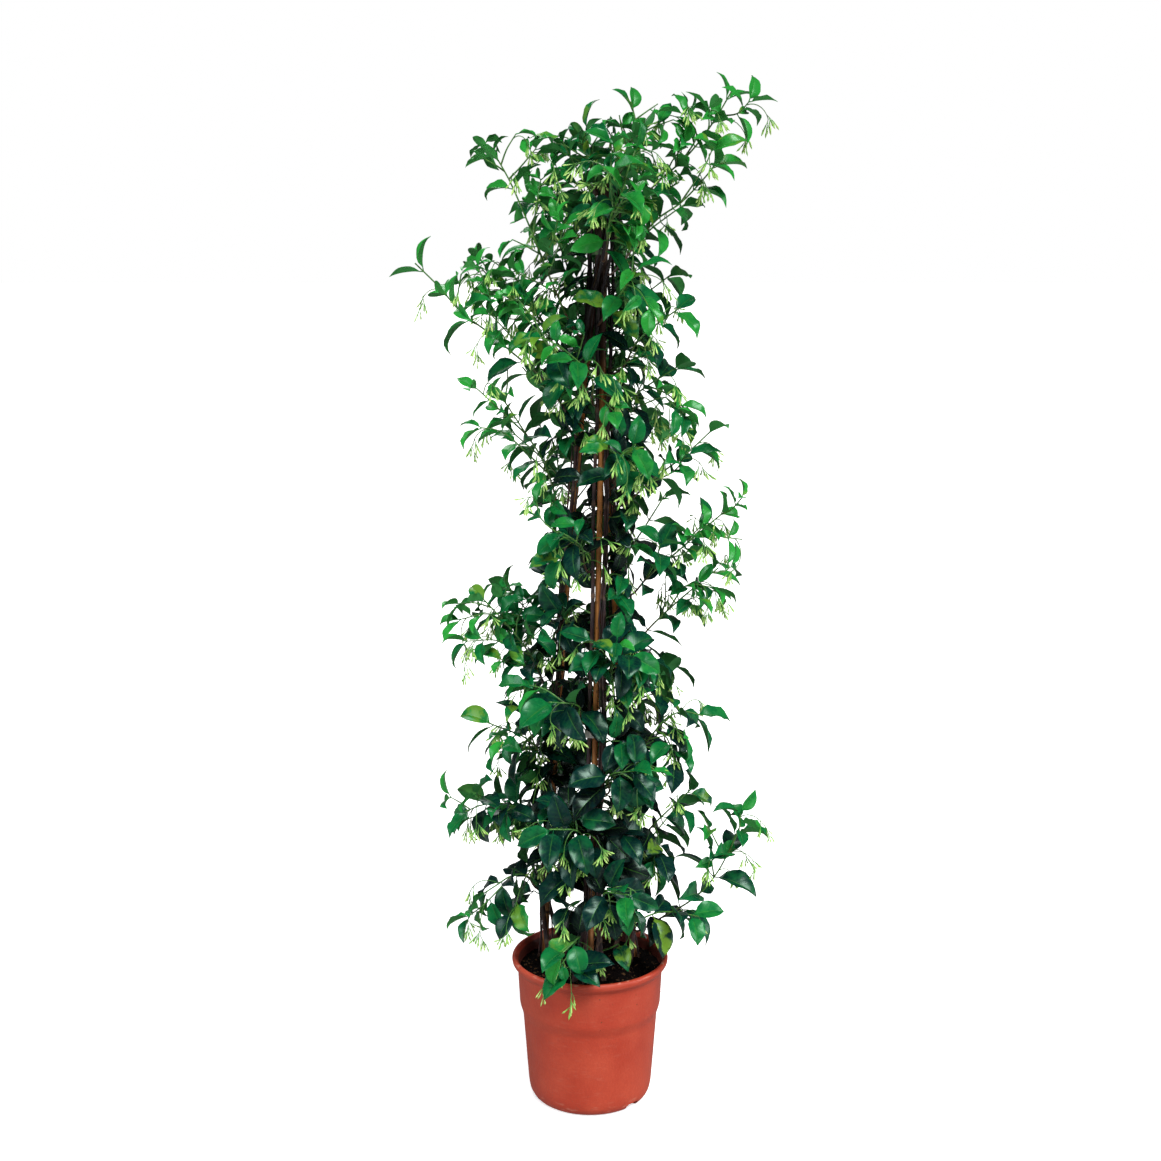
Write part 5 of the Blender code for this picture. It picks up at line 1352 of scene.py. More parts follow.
def lay_twiner(cane, side, turns, top, radius, room):
    """A thin stem that winds up a cane, and steps round whatever is already there."""
    route = []
    angle = math.radians(side)
    z = SOIL_TOP - TWINER_DEPTH
    while z < top:
        for widen, aside in product(range(TWINER_TRIES), TWINER_ASIDES):
            turned = angle + aside
            reach = TWINER_REACH + widen * TWINER_WIDEN
            spot = cane_at(cane, z) + Vector((math.cos(turned), math.sin(turned), 0.0)) * reach
            if not route or room.space.free(tube_mesh([route[-1], spot], [radius + CLEAR] * 2), "soil"):
                break
        else:
            break
        route.append(spot)
        angle = turned + turns * 2.0 * math.pi * TWINER_STEP
        z += TWINER_STEP
    if len(route) > 2:
        room.space.add(tube_mesh(route, [radius] * len(route)), "twiner", "stem")
    return route


def make_twiners(material, room):
    """The thin old stems in the plant's dark middle."""
    rows, lines = [], []
    for cane, side, turns, top, radius in TWINERS:
        route = lay_twiner(cane, side, turns, top, radius, room)
        if len(route) > 2:
            count = len(route)
            radii = [radius * lerp(1.0, TWINER_TAPER, i / (count - 1)) for i in range(count)]
            add_line(rows, lines, route, radii, [0.0] * count)
    make_tube("twining_stems", rows_to_mesh("twining_stems", rows, lines), TWINER_TUBE,
              0.052, 0.010, 40.0, material, "bark")


def hang_rim_sprig(entry, room):
    """The sprig that leans out over the rim at the front, with leaves and two bunches."""
    vine, height = RIM_ROOT
    start = vine_place(vine, height)
    route = smooth_route([start] + [Vector(p) for p in RIM_WAY], RIM_POINTS)
    node = route[-1]
    entry["twigs"].append((route, stem_radii(RIM_POINTS)))
    for tip in RIM_LEAVES:
        chord = Vector(tip) - node
        way = chord.normalized()
        up = Vector((0.0, -0.5, 1.0))
        up = (up - way * up.dot(way)).normalized()
        along = way * math.cos(RIM_LEAF_BEND / 2.0) + up * math.sin(RIM_LEAF_BEND / 2.0)
        up = up * math.cos(RIM_LEAF_BEND / 2.0) - way * math.sin(RIM_LEAF_BEND / 2.0)
        leaf = Leaf(node, along, up, chord.length, RIM_LEAF_BEND)
        room.space.add(leaf_mesh(leaf), "rim_sprig", "leaf")
        entry["leaves"].append(leaf)
    for way, length, bend in RIM_BUNCHES:
        along = Vector(way).normalized()
        up = (UP - along * along.z).normalized()
        bunch = Bunch(node, along, up, length, bend, [1.0, 1.0, 1.0])
        room.space.add(bunch_mesh(bunch), "rim_sprig", "bunch")
        entry["bunches"].append(bunch)


def grow_sprays(grown, room, draw):
    """The leafy sprays that fill out the plant's outline at its sides."""
    room.fenced = False
    for spray in SPRAYS:
        entry = grown[spray.shoot]
        start = entry["route"][min(spray.index, len(entry["route"]) - 1)]
        for attempt in range(EXTRA_TRIES * 2):
            shake = SPRAY_SHAKE * attempt
            shift = Vector([draw.uniform(-shake, shake) for _ in range(3)])
            route = smooth_route([start] + [Vector(p) + shift for p in spray.way], SPRAY_POINTS)
            radii = stem_radii(SPRAY_POINTS, SPRAY_THICK)
            if room.takes(tube_mesh(route[2:], radii[2:]), spray.shoot, OWN_KINDS):
                break
        else:
            continue
        room.space.add(tube_mesh(route, radii), spray.shoot, "stem")
        entry["twigs"].append((route, radii))
        entry["leaves"] += dress_twig(route, spray.pairs, spray.leaf, SPRAY_HANG, room, spray.shoot, draw)
        for k in range(spray.bunches):
            stem_way = (route[-1 - k] - route[-3 - k]).normalized()
            hang_bunch(route[-2 - k * 2], stem_way, entry, room, spray.shoot, draw)
    room.fenced = True


def lower_share(z):
    """1 low down in the plant, where leaves are large and dark, and 0 at the top."""
    return 1.0 - smooth(*LOWER_PART, z)


def grow_twigs(grown, room, draw):
    """Side twigs with small leaves, and more bunches, on every shoot of the CAD model."""
    for name, entry in grown.items():
        route = entry["route"]
        shoot = entry["shoot"]
        for index in range(2, len(route) - 1):
            stem_way = (route[index + 1] - route[index - 1]).normalized()
            wanted = CROWN_TWIGS if route[index].z > CROWN_FROM else 1
            for _ in range(wanted * 2):
                place = route[index].lerp(route[index + 1], draw.uniform(*TWIG_SPOTS))
                turn = draw.uniform(0.0, 2.0 * math.pi)
                way = leaf_way(stem_way, turn, draw.uniform(*TWIG_OPENS), shoot.hang * 0.5)
                length = draw.uniform(*TWIG_LENGTHS)
                twig = lay_twig(place, way, length, shoot.hang, room, name, draw)
                if twig is None:
                    continue
                size = shoot.leaf * draw.uniform(*TWIG_LEAF)
                pairs = draw.choice(TWIG_PAIRS)
                entry["leaves"] += dress_twig(twig[0], pairs, size, shoot.hang, room, name, draw)
                entry["twigs"].append(twig)
                if draw.random() < TWIG_BUNCHES:
                    hang_tip_bunch(twig[0], entry, room, name, draw)
                wanted -= 1
                if wanted == 0:
                    break
        for k in range(EXTRA_BUNCHES):
            index = max(len(route) - 2 - k, 2)
            stem_way = (route[index + 1] - route[index - 1]).normalized()
            hang_bunch(route[index], stem_way, entry, room, name, draw)


def heights(low, high, step, draw):
    """Heights at an uneven step, each drawn only after the spur below has grown."""
    z = low + draw.uniform(0.0, step)
    while z < high:
        yield z
        z += step * draw.uniform(*UNEVEN)


def grow_spurs(room, draw):
    """Short leafy spurs straight off the old stems, which fill the middle of the plant."""
    spurs = {name: {"twigs": [], "leaves": [], "bunches": []} for name in VINES}
    for name, vine in VINES.items():
        top = min(CORE_RANGE[1], vine.top - CORE_BELOW_TOP)
        for z in heights(CORE_RANGE[0], top, CORE_STEP, draw):
            grow_spur(name, z, CORE_TURN, SPUR_LENGTHS[0], CORE_LEAF, 0.0, spurs[name], room, draw)
    for name, vine in VINES.items():
        top = min(CORE_DEEP_RANGE[1], vine.top - CORE_DEEP_BELOW_TOP)
        for z in heights(CORE_DEEP_RANGE[0], top, CORE_DEEP_STEP, draw):
            grow_spur(name, z, CORE_TURN, CORE_DEEP_TWIG, CORE_DEEP_LEAF, 0.0, spurs[name], room, draw)
    for name, vine in VINES.items():
        for z in heights(SPUR_FROM, vine.top - SPUR_BELOW_TOP, SPUR_STEP, draw):
            size = lerp(*SPUR_LEAF, lower_share(z))
            length = draw.uniform(*SPUR_LENGTHS)
            sizes = [size * share for share in SPUR_SIZES]
            grow_spur(name, z, SPUR_TURN, length, sizes, SPUR_BUNCHES, spurs[name], room, draw)
    return spurs


def grow_spur(name, z, spread, length, sizes, bunches, grown, room, draw):
    """One spur with a pair or two of leaves, at a height on an old stem."""
    vine = VINES[name]
    place = vine_place(name, z)
    out = (place - cane_at(vine.cane, z)).to_2d().normalized()
    outward = Vector((out.x, out.y, 0.0))
    outward.rotate(Matrix.Rotation(draw.uniform(-spread, spread), 3, "Z"))
    outward.z = draw.uniform(*SPUR_RISES)
    outward.normalize()
    owner = name + "_spurs"
    start = place + outward * vine_radius(z) * 0.9
    twig = lay_twig(start, outward, length, SPUR_LIFT, room, owner, draw)
    if twig is None:
        return
    hang = lerp(*SPUR_HANGS, lower_share(z))
    pairs = draw.choice(SPUR_PAIRS)
    grown["leaves"] += dress_twig(twig[0], pairs, draw.uniform(*sizes), hang, room, owner, draw, 1)
    grown["twigs"].append(twig)
    if draw.random() < bunches:
        hang_tip_bunch(twig[0], grown, room, owner, draw)


# Points and lines that carry each leaf, bud and stem to the leafy tree

POINT_NUMBERS = ("kind", "length", "bend", "width", "fold", "wave", "curl", "phase", "tone", "blotch")
POINT_WAYS = {"along": Vector((1.0, 0.0, 0.0)), "up": UP}
BUD_SCATTER = (7, 13)
PEDUNCLE_POINTS = 8
BUD_LENGTHS = (0.0125, 0.0185)
BUD_WIDTHS = (0.00090, 0.00130)
FORK_LENGTHS = (0.003, 0.009)
FORK_SPREADS = (0.35, 0.8)
FORK_RADII = (0.00042, 0.00036)
PEDUNCLE_RADII = (0.00062, 0.00042)
PEDUNCLE_TONE = 0.85
FORK_TONE = 0.95
GOLDEN_ANGLE = 2.399963
TASSEL_FOLLOWS = 0.8
TASSEL_SPREADS = (0.15, 0.75)
TASSEL_HANGS = Vector((0.0, 0.0, -0.40))


def add_line(rows, lines, route, radii, tones):
    """A stem as a run of joined points."""
    first = len(rows)
    for place, radius, tone in zip(route, radii, tones):
        rows.append({"place": place, "width": radius, "tone": tone})
    lines += [(first + i, first + i + 1) for i in range(len(route) - 1)]


# How far fine tips stay inside the CAD model's box
SIDE_SPARE = 0.0026
TOP_SPARE = 0.003


def in_box(point):
    """True where a fine tip still lies inside the CAD model's box."""
    if not CAD_BOX[0].x + SIDE_SPARE <= point.x <= CAD_BOX[1].x - SIDE_SPARE:
        return False
    if not CAD_BOX[0].y + SIDE_SPARE <= point.y <= CAD_BOX[1].y - SIDE_SPARE:
        return False
    return point.z <= CAD_BOX[1].z - TOP_SPARE


# A leaf's tone: brighter outwards and upwards, which is painted light, darker for long leaves and low down
TONE_START = -0.04
TONE_OUTWARDS = 4.8
TONE_UPWARDS = 0.30
TONE_MIDDLE_HEIGHT = 0.6
TONE_LENGTH = 14.0
TONE_USUAL_LENGTH = 0.044
TONE_LOW = 0.20
# What the crown adds to it as painted light, what the low front adds, and what a place near a cane takes away
# as painted shade
TONE_CROWN = 0.22
CROWN_HEIGHTS = (0.95, 1.08)
TONE_NEAR_CANE = 0.42
NEAR_CANE = (0.022, 0.055)
BELOW_CROWN = (1.08, 1.13)
TONE_LOW_FRONT = 0.20
FRONT_REACH = (0.085, 0.105)
FRONT_HEIGHTS = (0.26, 0.32)
# How often a leaf is a young one, how much brighter that is, and how much tones scatter
YOUNG_LEAVES = 0.12
TONE_YOUNG = 0.35
TONE_SCATTER = 0.24
DARKEST_TONE = -0.4


def leaf_tone(leaf, draw):
    """0 for the dark leaves inside and low down, 1 for the bright ones at the tips; partly painted shade
    inside and painted light outside and on top.
    """
    middle = leaf.base + leaf.along * leaf.length * 0.6
    reach = math.hypot(middle.x - TIE_CENTRE.x, middle.y)
    tone = TONE_START + TONE_OUTWARDS * reach + TONE_UPWARDS * (middle.z - TONE_MIDDLE_HEIGHT) \
        + TONE_CROWN * smooth(*CROWN_HEIGHTS, middle.z)
    tone -= (leaf.length - TONE_USUAL_LENGTH) * TONE_LENGTH + TONE_LOW * lower_share(middle.z)
    near = min((middle - cane_at(cane, middle.z)).to_2d().length for cane in CANES)
    below_crown = 1.0 - smooth(*BELOW_CROWN, middle.z)
    tone -= TONE_NEAR_CANE * (1.0 - smooth(*NEAR_CANE, near)) * below_crown
    low = 1.0 - smooth(*FRONT_HEIGHTS, middle.z)
    tone += TONE_LOW_FRONT * smooth(*FRONT_REACH, -middle.y) * low
    if draw.random() < YOUNG_LEAVES:
        tone += TONE_YOUNG
    return min(max(tone + draw.uniform(-TONE_SCATTER, TONE_SCATTER), DARKEST_TONE), 1.0)


def add_leaf(rows, leaf, draw):
    """A leaf as one point. It is shortened if its tip would leave the CAD model's box."""
    tone = leaf_tone(leaf, draw)
    length = leaf.length * draw.uniform(0.96, 1.0)
    while not in_box(bent_point(leaf.base, leaf.along, leaf.up, length, leaf.bend, 1.0)[0]):
        length *= 0.96
    rows.append({
        "place": leaf.base, "kind": 1.0, "along": leaf.along, "up": leaf.up,
        "length": length, "bend": leaf.bend,
        "width": LEAF_HALF_WIDTH * draw.uniform(0.80, 1.04) * lerp(1.0, 1.14, lower_share(leaf.base.z)),
        "fold": 0.15 + draw.uniform(0.0, 0.35) + tone * draw.uniform(0.0, 0.45),
        "wave": draw.uniform(0.0, 0.20), "curl": draw.uniform(0.2, 1.8), "phase": draw.uniform(0.0, 6.28),
        "tone": tone, "blotch": draw.uniform(0.4, 0.9) if draw.random() < 0.05 + 0.10 * tone else 0.0,
    })


def add_bunch(rows, lines, bunch, draw):
    """A peduncle that arches over, forks, and ends in a loose tassel of slim buds."""
    route, sides, radii = [], [], []
    for i in range(PEDUNCLE_POINTS):
        share = i / (PEDUNCLE_POINTS - 1)
        place, side_up = bent_point(bunch.base, bunch.along, bunch.up, bunch.length, bunch.bend, share)
        route.append(place)
        sides.append(side_up)
        radii.append(lerp(*PEDUNCLE_RADII, share))
    add_line(rows, lines, route, radii, [PEDUNCLE_TONE] * PEDUNCLE_POINTS)
    way = (route[-1] - route[-2]).normalized()
    level = way.cross(sides[-1]).normalized()
    count = draw.randint(*BUD_SCATTER)
    forks = draw.randint(2, 3)
    turn = draw.uniform(0.0, 2.0 * math.pi)
    for fork in range(forks):
        start = route[-1 - fork]
        swing = turn + fork * 2.0 * math.pi / forks
        lean = level * math.cos(swing) + sides[-1] * math.sin(swing)
        fork_way = (way * BUD_FOLLOWS + lean * draw.uniform(*FORK_SPREADS) + BUD_HANGS).normalized()
        end = start + fork_way * draw.uniform(*FORK_LENGTHS)
        add_line(rows, lines, [start, end], FORK_RADII, [FORK_TONE] * 2)
        for k in range(fork, count, forks):
            around = GOLDEN_ANGLE * k + draw.uniform(-0.3, 0.3)
            lean = level * math.cos(around) + sides[-1] * math.sin(around)
            along = fork_way * TASSEL_FOLLOWS + lean * draw.uniform(*TASSEL_SPREADS) + TASSEL_HANGS
            along.normalize()
            up = lean - along * lean.dot(along)
            if up.length < 0.05:
                up = level
            bud = {
                "place": start.lerp(end, draw.uniform(0.5, 1.0)), "kind": 2.0, "along": along,
                "up": up.normalized(), "length": draw.uniform(*BUD_LENGTHS),
                "bend": draw.uniform(-0.5, 0.5) or 0.1, "width": draw.uniform(*BUD_WIDTHS),
                "tone": draw.random(),
            }
            if in_box(bud["place"] + along * bud["length"]):
                rows.append(bud)


def rows_to_mesh(name, rows, lines):
    """Points and lines that carry the numbers and ways of their rows."""
    mesh = bpy.data.meshes.new(name)
    mesh.from_pydata([tuple(row["place"]) for row in rows], lines, [])
    for key in POINT_NUMBERS:
        layer = mesh.attributes.new(key, "FLOAT", "POINT")
        layer.data.foreach_set("value", [float(row.get(key, 0.0)) for row in rows])
    for key, spare in POINT_WAYS.items():
        layer = mesh.attributes.new(key, "FLOAT_VECTOR", "POINT")
        layer.data.foreach_set("vector", [c for row in rows for c in row.get(key, spare)])
    return mesh


# Pieces

def add_object(name, data):
    ob = bpy.data.objects.new(name, data)
    bpy.context.scene.collection.objects.link(ob)
    return ob


def apply_modifiers(ob):
    """Keeps the evaluated mesh and drops the modifiers."""
    bpy.context.view_layer.update()
    graph = bpy.context.evaluated_depsgraph_get()
    mesh = bpy.data.meshes.new_from_object(ob.evaluated_get(graph))
    old = ob.data
    ob.modifiers.clear()
    ob.data = mesh
    bpy.data.meshes.remove(old)


def apply_tree(mesh, name, tree, values, kept=()):
    """The plain mesh that a Geometry Nodes tree makes of mesh, as an object."""
    ob = add_object(name, mesh)
    modifier = ob.modifiers.new("Grow", "NODES")
    modifier.node_group = tree
    sockets = {item.name: item.identifier for item in tree.interface.items_tree
               if item.item_type == "SOCKET" and item.in_out == "INPUT"}
    for label, value in values.items():
        modifier[sockets[label]] = value
    apply_modifiers(ob)
    for layer in list(ob.data.attributes):
        if layer.name in (*POINT_NUMBERS, *POINT_WAYS, "base") and layer.name not in kept:
            ob.data.attributes.remove(layer)
    ob.data.name = name
    return ob


def settle(piece, slot, *nodes):
    """Rides the piece on the body, in place of these CAD nodes, which it hides. The slot is not used."""
    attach(piece, "root")
    if nodes:
        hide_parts(*nodes)


# Shader groups that several finishes share

def mottle_group():
    """Cloudy colour variation and fine height on Object coordinates."""
    inputs = {"Scale": 60.0, "Stretch": (1.0, 1.0, 1.0), "Detail": 4.0, "Low": 0.35, "High": 0.65}
    tree, given, end = new_tree("mottle", "Shader", inputs, {"Mask": "Float", "Height": "Float"})
    spot = output_of(tree, "ShaderNodeTexCoord", "Object")
    cloudy = {"Vector": spot * given["Stretch"], "Scale": given["Scale"], "Detail": given["Detail"]}
    value = output_of(tree, "ShaderNodeTexNoise", 0, cloudy)
    ease(value, given["Low"], given["High"]).into(end["Mask"])
    value.into(end["Height"])
    return tree


def speckle_group():
    """Scattered small spots, as dust, grit and lenticels."""
    inputs = {"Scale": 300.0, "Stretch": (1.0, 1.0, 1.0), "Size": 0.2, "Share": 0.3}
    tree, given, end = new_tree("speckle", "Shader", inputs, {"Mask": "Float"})
    spot = output_of(tree, "ShaderNodeTexCoord", "Object") * given["Stretch"]
    cells = add_node(tree, "ShaderNodeTexVoronoi", {"Vector": spot, "Scale": given["Scale"]})
    near = calc(tree, "LESS_THAN", Wire(tree, cells.outputs["Distance"]), given["Size"])
    pick = split(Wire(tree, cells.outputs["Color"]), "Color")[0]
    mask = near * calc(tree, "LESS_THAN", pick, given["Share"])
    mask.into(end["Mask"])
    return tree


def leaf_vein_group():
    """The midrib and the side veins that sweep forward from it, from a leaf's own share and side."""
    inputs = {"Share": 0.5, "Side": 0.0, "Pairs": 9.0, "Sweep": 0.22,
              "Midrib Width": 0.07, "Vein Width": 0.30}
    tree, given, end = new_tree("leaf_veins", "Shader", inputs, {"Midrib": "Float", "Veins": "Float"})
    out = calc(tree, "ABSOLUTE", given["Side"])
    ease(out, given["Midrib Width"], 0.0).into(end["Midrib"])
    run = (given["Share"] - out * given["Sweep"]) * given["Pairs"]
    off = calc(tree, "ABSOLUTE", calc(tree, "FRACT", run) - 0.5)
    inner = ease(out, 0.92, 0.55) * ease(given["Share"], 0.14, 0.24)
    veins = ease(off, given["Vein Width"], 0.0) * inner
    veins.into(end["Veins"])
    return tree


GROUPS = {"mottle": mottle_group(), "speckle": speckle_group(), "leaf_veins": leaf_vein_group()}


def use_group(tree, name, output, values):
    """One output of a shader group placed with its own values."""
    return output_of(tree, "ShaderNodeGroup", output, values, node_tree=GROUPS[name])


def mottle(tree, scale, output="Mask", **values):
    """Clouds or streaks."""
    return use_group(tree, "mottle", output, {"Scale": scale, **values})


def speckle(tree, scale, size, share, stretch=(1.0, 1.0, 1.0)):
    """Spots of this size in this share of the cells."""
    spots = {"Scale": scale, "Size": size, "Share": share, "Stretch": stretch}
    return use_group(tree, "speckle", "Mask", spots)


def on_surface(tree, name):
    """A number that the mesh carries at each point, in a material."""
    return output_of(tree, "ShaderNodeAttribute", "Fac", attribute_name=name)


def height_above_floor(tree):
    return split(output_of(tree, "ShaderNodeTexCoord", "Object"))[2]


def layered(colour, *coats):
    """The colour with each coat over the last: how much of it, and its colour."""
    for factor, tint in coats:
        colour = blend_colours(factor, colour, tint)
    return colour


def new_material(name, **fixed):
    """A material whose Principled shader has these numbers set on its own sockets."""
    material = bpy.data.materials.new(name)
    material.use_nodes = True
    shader = material.node_tree.nodes["Principled BSDF"]
    for label, value in fixed.items():
        shader.inputs[label.replace("_", " ")].default_value = value
    return material, material.node_tree


def finish(material, colour, height, distance, strength, rough=None):
    """The material with its colour, its raised surface and, where it varies, its roughness joined."""
    tree = material.node_tree
    shader = tree.nodes["Principled BSDF"]
    colour.into(shader.inputs["Base Color"])
    if rough is not None:
        rough.into(shader.inputs["Roughness"])
    bump = {"Height": height, "Distance": distance, "Strength": strength}
    output_of(tree, "ShaderNodeBump", "Normal", bump).into(shader.inputs["Normal"])
    return material


# Finishes

# Leaf colours blended by tone; the darkest is painted shade deep inside the plant as well as old leaves
LEAF_OLD_AND_PAINTED_SHADE = (0.0022, 0.0050, 0.0065)
LEAF_DARK = (0.0010, 0.0190, 0.0175)
LEAF_MID = (0.0026, 0.1200, 0.0300)
LEAF_BRIGHT = (0.0200, 0.2650, 0.0330)
LEAF_YELLOW = (0.1350, 0.2700, 0.0220)
LEAF_UNDER = (0.0420, 0.2100, 0.0500)
LEAF_RIB = (0.0900, 0.3000, 0.0450)
# Heights between which painted shade darkens the canes and old stems towards the leafy head
CORE_PAINTED_SHADE = (0.84, 0.92)
POT_COLOUR = (0.350, 0.034, 0.014)
POT_WARM = (0.415, 0.053, 0.023)
POT_DEEP = (0.290, 0.030, 0.014)
POT_DUST = (0.640, 0.330, 0.230)
# Painted shade for the pot's inner wall above the compost
POT_INNER_SHADE = (0.060, 0.014, 0.010)


def leaf_finish():
    """Glossy above and paler below; dark inside the plant and bright at the tips, partly painted shade and
    painted light carried by the tone.
    """
    material, tree = new_material("evergreen_leaf", Specular_IOR_Level=0.28,
                                  Specular_Tint=(0.70, 1.0, 0.85, 1.0))
    clouds = mottle(tree, 90.0, Low=0.3, High=0.7)
    tone = on_surface(tree, "tone") + (clouds - 0.5) * 0.22
    patch = mottle(tree, 64.0, Low=0.46, High=0.58)
    veined = {"Share": on_surface(tree, "share"), "Side": on_surface(tree, "side")}
    midrib = use_group(tree, "leaf_veins", "Midrib", veined)
    veins = use_group(tree, "leaf_veins", "Veins", veined)
    under = ease(on_surface(tree, "over"), 0.0, -0.35)
    colour = blend_colours(ease(tone, -0.30, 0.02), LEAF_OLD_AND_PAINTED_SHADE, LEAF_DARK)
    colour = layered(colour, (ease(tone, 0.05, 0.50), LEAF_MID), (ease(tone, 0.45, 1.0), LEAF_BRIGHT),
                     (patch * on_surface(tree, "blotch"), LEAF_YELLOW),
                     (midrib * 0.34 + veins * 0.035, LEAF_RIB), (under * 0.75, LEAF_UNDER))
    fine = mottle(tree, 700.0, "Height", Detail=2.0)
    return finish(material, colour, veins * -0.6 + fine * 0.3, 0.00012, 0.5,
                  0.24 + clouds * 0.09 + under * 0.30)


def bud_finish():
    """Pale yellow-green buds on greener stalks."""
    material, tree = new_material("pale_bud", Roughness=0.45)
    tone = on_surface(tree, "tone")
    stalk = blend_colours(tone, (0.050, 0.290, 0.035), (0.130, 0.430, 0.060))
    tip = blend_colours(tone, (0.210, 0.500, 0.080), (0.520, 0.760, 0.220))
    streaks = mottle(tree, 500.0, Stretch=(1.0, 1.0, 0.25))
    colour = layered(stalk, (ease(on_surface(tree, "share"), 0.32, 0.60), tip),
                     (streaks * 0.25, (0.150, 0.260, 0.050)))
    return finish(material, colour, streaks, 0.0001, 0.5)


def stem_finish():
    """Green near the tips and purple-brown near the old stems."""
    material, tree = new_material("young_stem", Roughness=0.42)
    streaks = mottle(tree, 260.0, Stretch=(1.0, 1.0, 0.3))
    green = blend_colours(streaks, (0.030, 0.130, 0.022), (0.080, 0.230, 0.035))
    brown = blend_colours(streaks, (0.035, 0.015, 0.013), (0.090, 0.045, 0.025))
    colour = blend_colours(ease(on_surface(tree, "tone"), 0.15, 0.55), brown, green)
    return finish(material, colour, streaks, 0.00015, 0.5)


def bark_finish():
    """Thin dark red-brown bark with pale pores and a few green-grey patches, and painted shade darkening it
    high up.
    """
    material, tree = new_material("brown_bark")
    streaks = mottle(tree, 220.0, Stretch=(1.0, 1.0, 0.18), Detail=6.0)
    patches = mottle(tree, 38.0, Low=0.50, High=0.68)
    pores = speckle(tree, 520.0, 0.22, 0.20, (1.0, 1.0, 0.6))
    # Painted shade: nearly black high up in the leafy head
    high = ease(height_above_floor(tree), *CORE_PAINTED_SHADE)
    joint = ease(on_surface(tree, "from_joint"), 0.004, 0.0015)
    colour = blend_colours(streaks, (0.014, 0.006, 0.009), (0.054, 0.022, 0.021))
    colour = layered(colour, (patches * 0.30, (0.080, 0.065, 0.045)), (pores * 0.6, (0.220, 0.140, 0.090)),
                     (joint * 0.5, (0.150, 0.085, 0.050)), (high * 0.9, (0.005, 0.002, 0.004)))
    return finish(material, colour, streaks + pores * 0.5, 0.0004, 0.7, 0.66 + streaks * 0.18)


def cane_finish():
    """Tan bamboo: fine lengthwise streaks, dark rings at the joints, darker patches, and painted shade on its
    lower part and its head.
    """
    material, tree = new_material("tan_bamboo", Specular_IOR_Level=0.25)
    streaks = mottle(tree, 420.0, Stretch=(1.0, 1.0, 0.03), Detail=5.0)
    clouds = mottle(tree, 30.0, Stretch=(1.0, 1.0, 0.35))
    spots = speckle(tree, 260.0, 0.3, 0.12, (1.0, 1.0, 0.5))
    height = height_above_floor(tree)
    near = on_surface(tree, "from_joint")
    colour = blend_colours(streaks, (0.320, 0.112, 0.026), (0.520, 0.218, 0.056))
    # Painted shade: darker below the middle of the plant and nearly black in the leafy head
    colour = layered(colour, (ease(height, 0.48, 0.38) * 0.5, (0.130, 0.056, 0.036)),
                     (ease(height, *CORE_PAINTED_SHADE) * 0.96, (0.007, 0.003, 0.005)),
                     (clouds * 0.30, (0.090, 0.036, 0.024)),
                     (ease(near, 0.010, 0.0) * 0.35, (0.420, 0.260, 0.120)),
                     (ease(near, 0.0026, 0.0012) * 0.85, (0.060, 0.026, 0.012)),
                     (spots * 0.5, (0.080, 0.040, 0.020)))
    return finish(material, colour, streaks, 0.0002, 0.5, 0.42 + clouds * 0.2)


def pot_finish():
    """Satin terracotta-coloured plastic, faintly mottled, with dust and scuffs at its lip and foot, and
    painted shade on the inner wall above the compost.
    """
    material, tree = new_material("terracotta_plastic", Specular_IOR_Level=0.38)
    clouds = mottle(tree, 22.0, Detail=5.0, Low=0.30, High=0.70)
    fine = mottle(tree, 340.0, Detail=3.0, Low=0.35, High=0.65)
    scuffs = mottle(tree, 70.0, Stretch=(1.0, 1.0, 4.0), Detail=8.0, Low=0.56, High=0.70)
    grit = speckle(tree, 420.0, 0.24, 0.10)
    spot = output_of(tree, "ShaderNodeTexCoord", "Object")
    height = split(spot)[2]
    reach = output_of(tree, "ShaderNodeVectorMath", "Value", {0: spot * (1.0, 1.0, 0.0)}, operation="LENGTH")
    slope = (COLLAR_TOP_RADIUS - COLLAR_FOOT_RADIUS) / (POT_HEIGHT - LIP_HEIGHT - COLLAR_FOOT_Z)
    outer = (height - COLLAR_FOOT_Z) * slope + COLLAR_FOOT_RADIUS
    # Painted shade on the inner wall between the rim and the compost
    inside = ease(reach - outer, -0.0004, -0.0012)
    inside = inside * ease(height, SOIL_TOP - 0.010, SOIL_TOP - 0.004)
    worn = ease(height, POT_HEIGHT - 0.004, POT_HEIGHT) + ease(height, 0.022, 0.0) * 0.7
    colour = blend_colours(clouds, POT_COLOUR, POT_WARM)
    colour = layered(colour, (fine * 0.22, POT_DEEP), (inside * 0.88, POT_INNER_SHADE),
                     (scuffs * (worn * 0.6 + 0.05), POT_DUST),
                     (grit * (ease(height, 0.05, 0.0) * 0.6 + 0.12), (0.120, 0.060, 0.040)))
    return finish(material, colour, fine * 0.6 + clouds * 0.4, 0.00025, 0.45,
                  0.44 + clouds * 0.10 + scuffs * 0.15)


def soil_finish():
    """Dark peat with brown fibres and chips."""
    material, tree = new_material("dark_compost", Roughness=0.92, Specular_IOR_Level=0.08)
    lumps = mottle(tree, 320.0, Detail=6.0, Low=0.3, High=0.75)
    bits = speckle(tree, 380.0, 0.35, 0.12)
    colour = blend_colours(lumps, (0.0012, 0.0006, 0.0010), (0.0085, 0.0045, 0.0042))
    colour = layered(colour, (bits * 0.6, (0.090, 0.050, 0.026)),
                     (ease(on_surface(tree, "chip"), 0.80, 0.97) * 0.75, (0.130, 0.070, 0.035)))
    return finish(material, colour, lumps, 0.0012, 0.8)


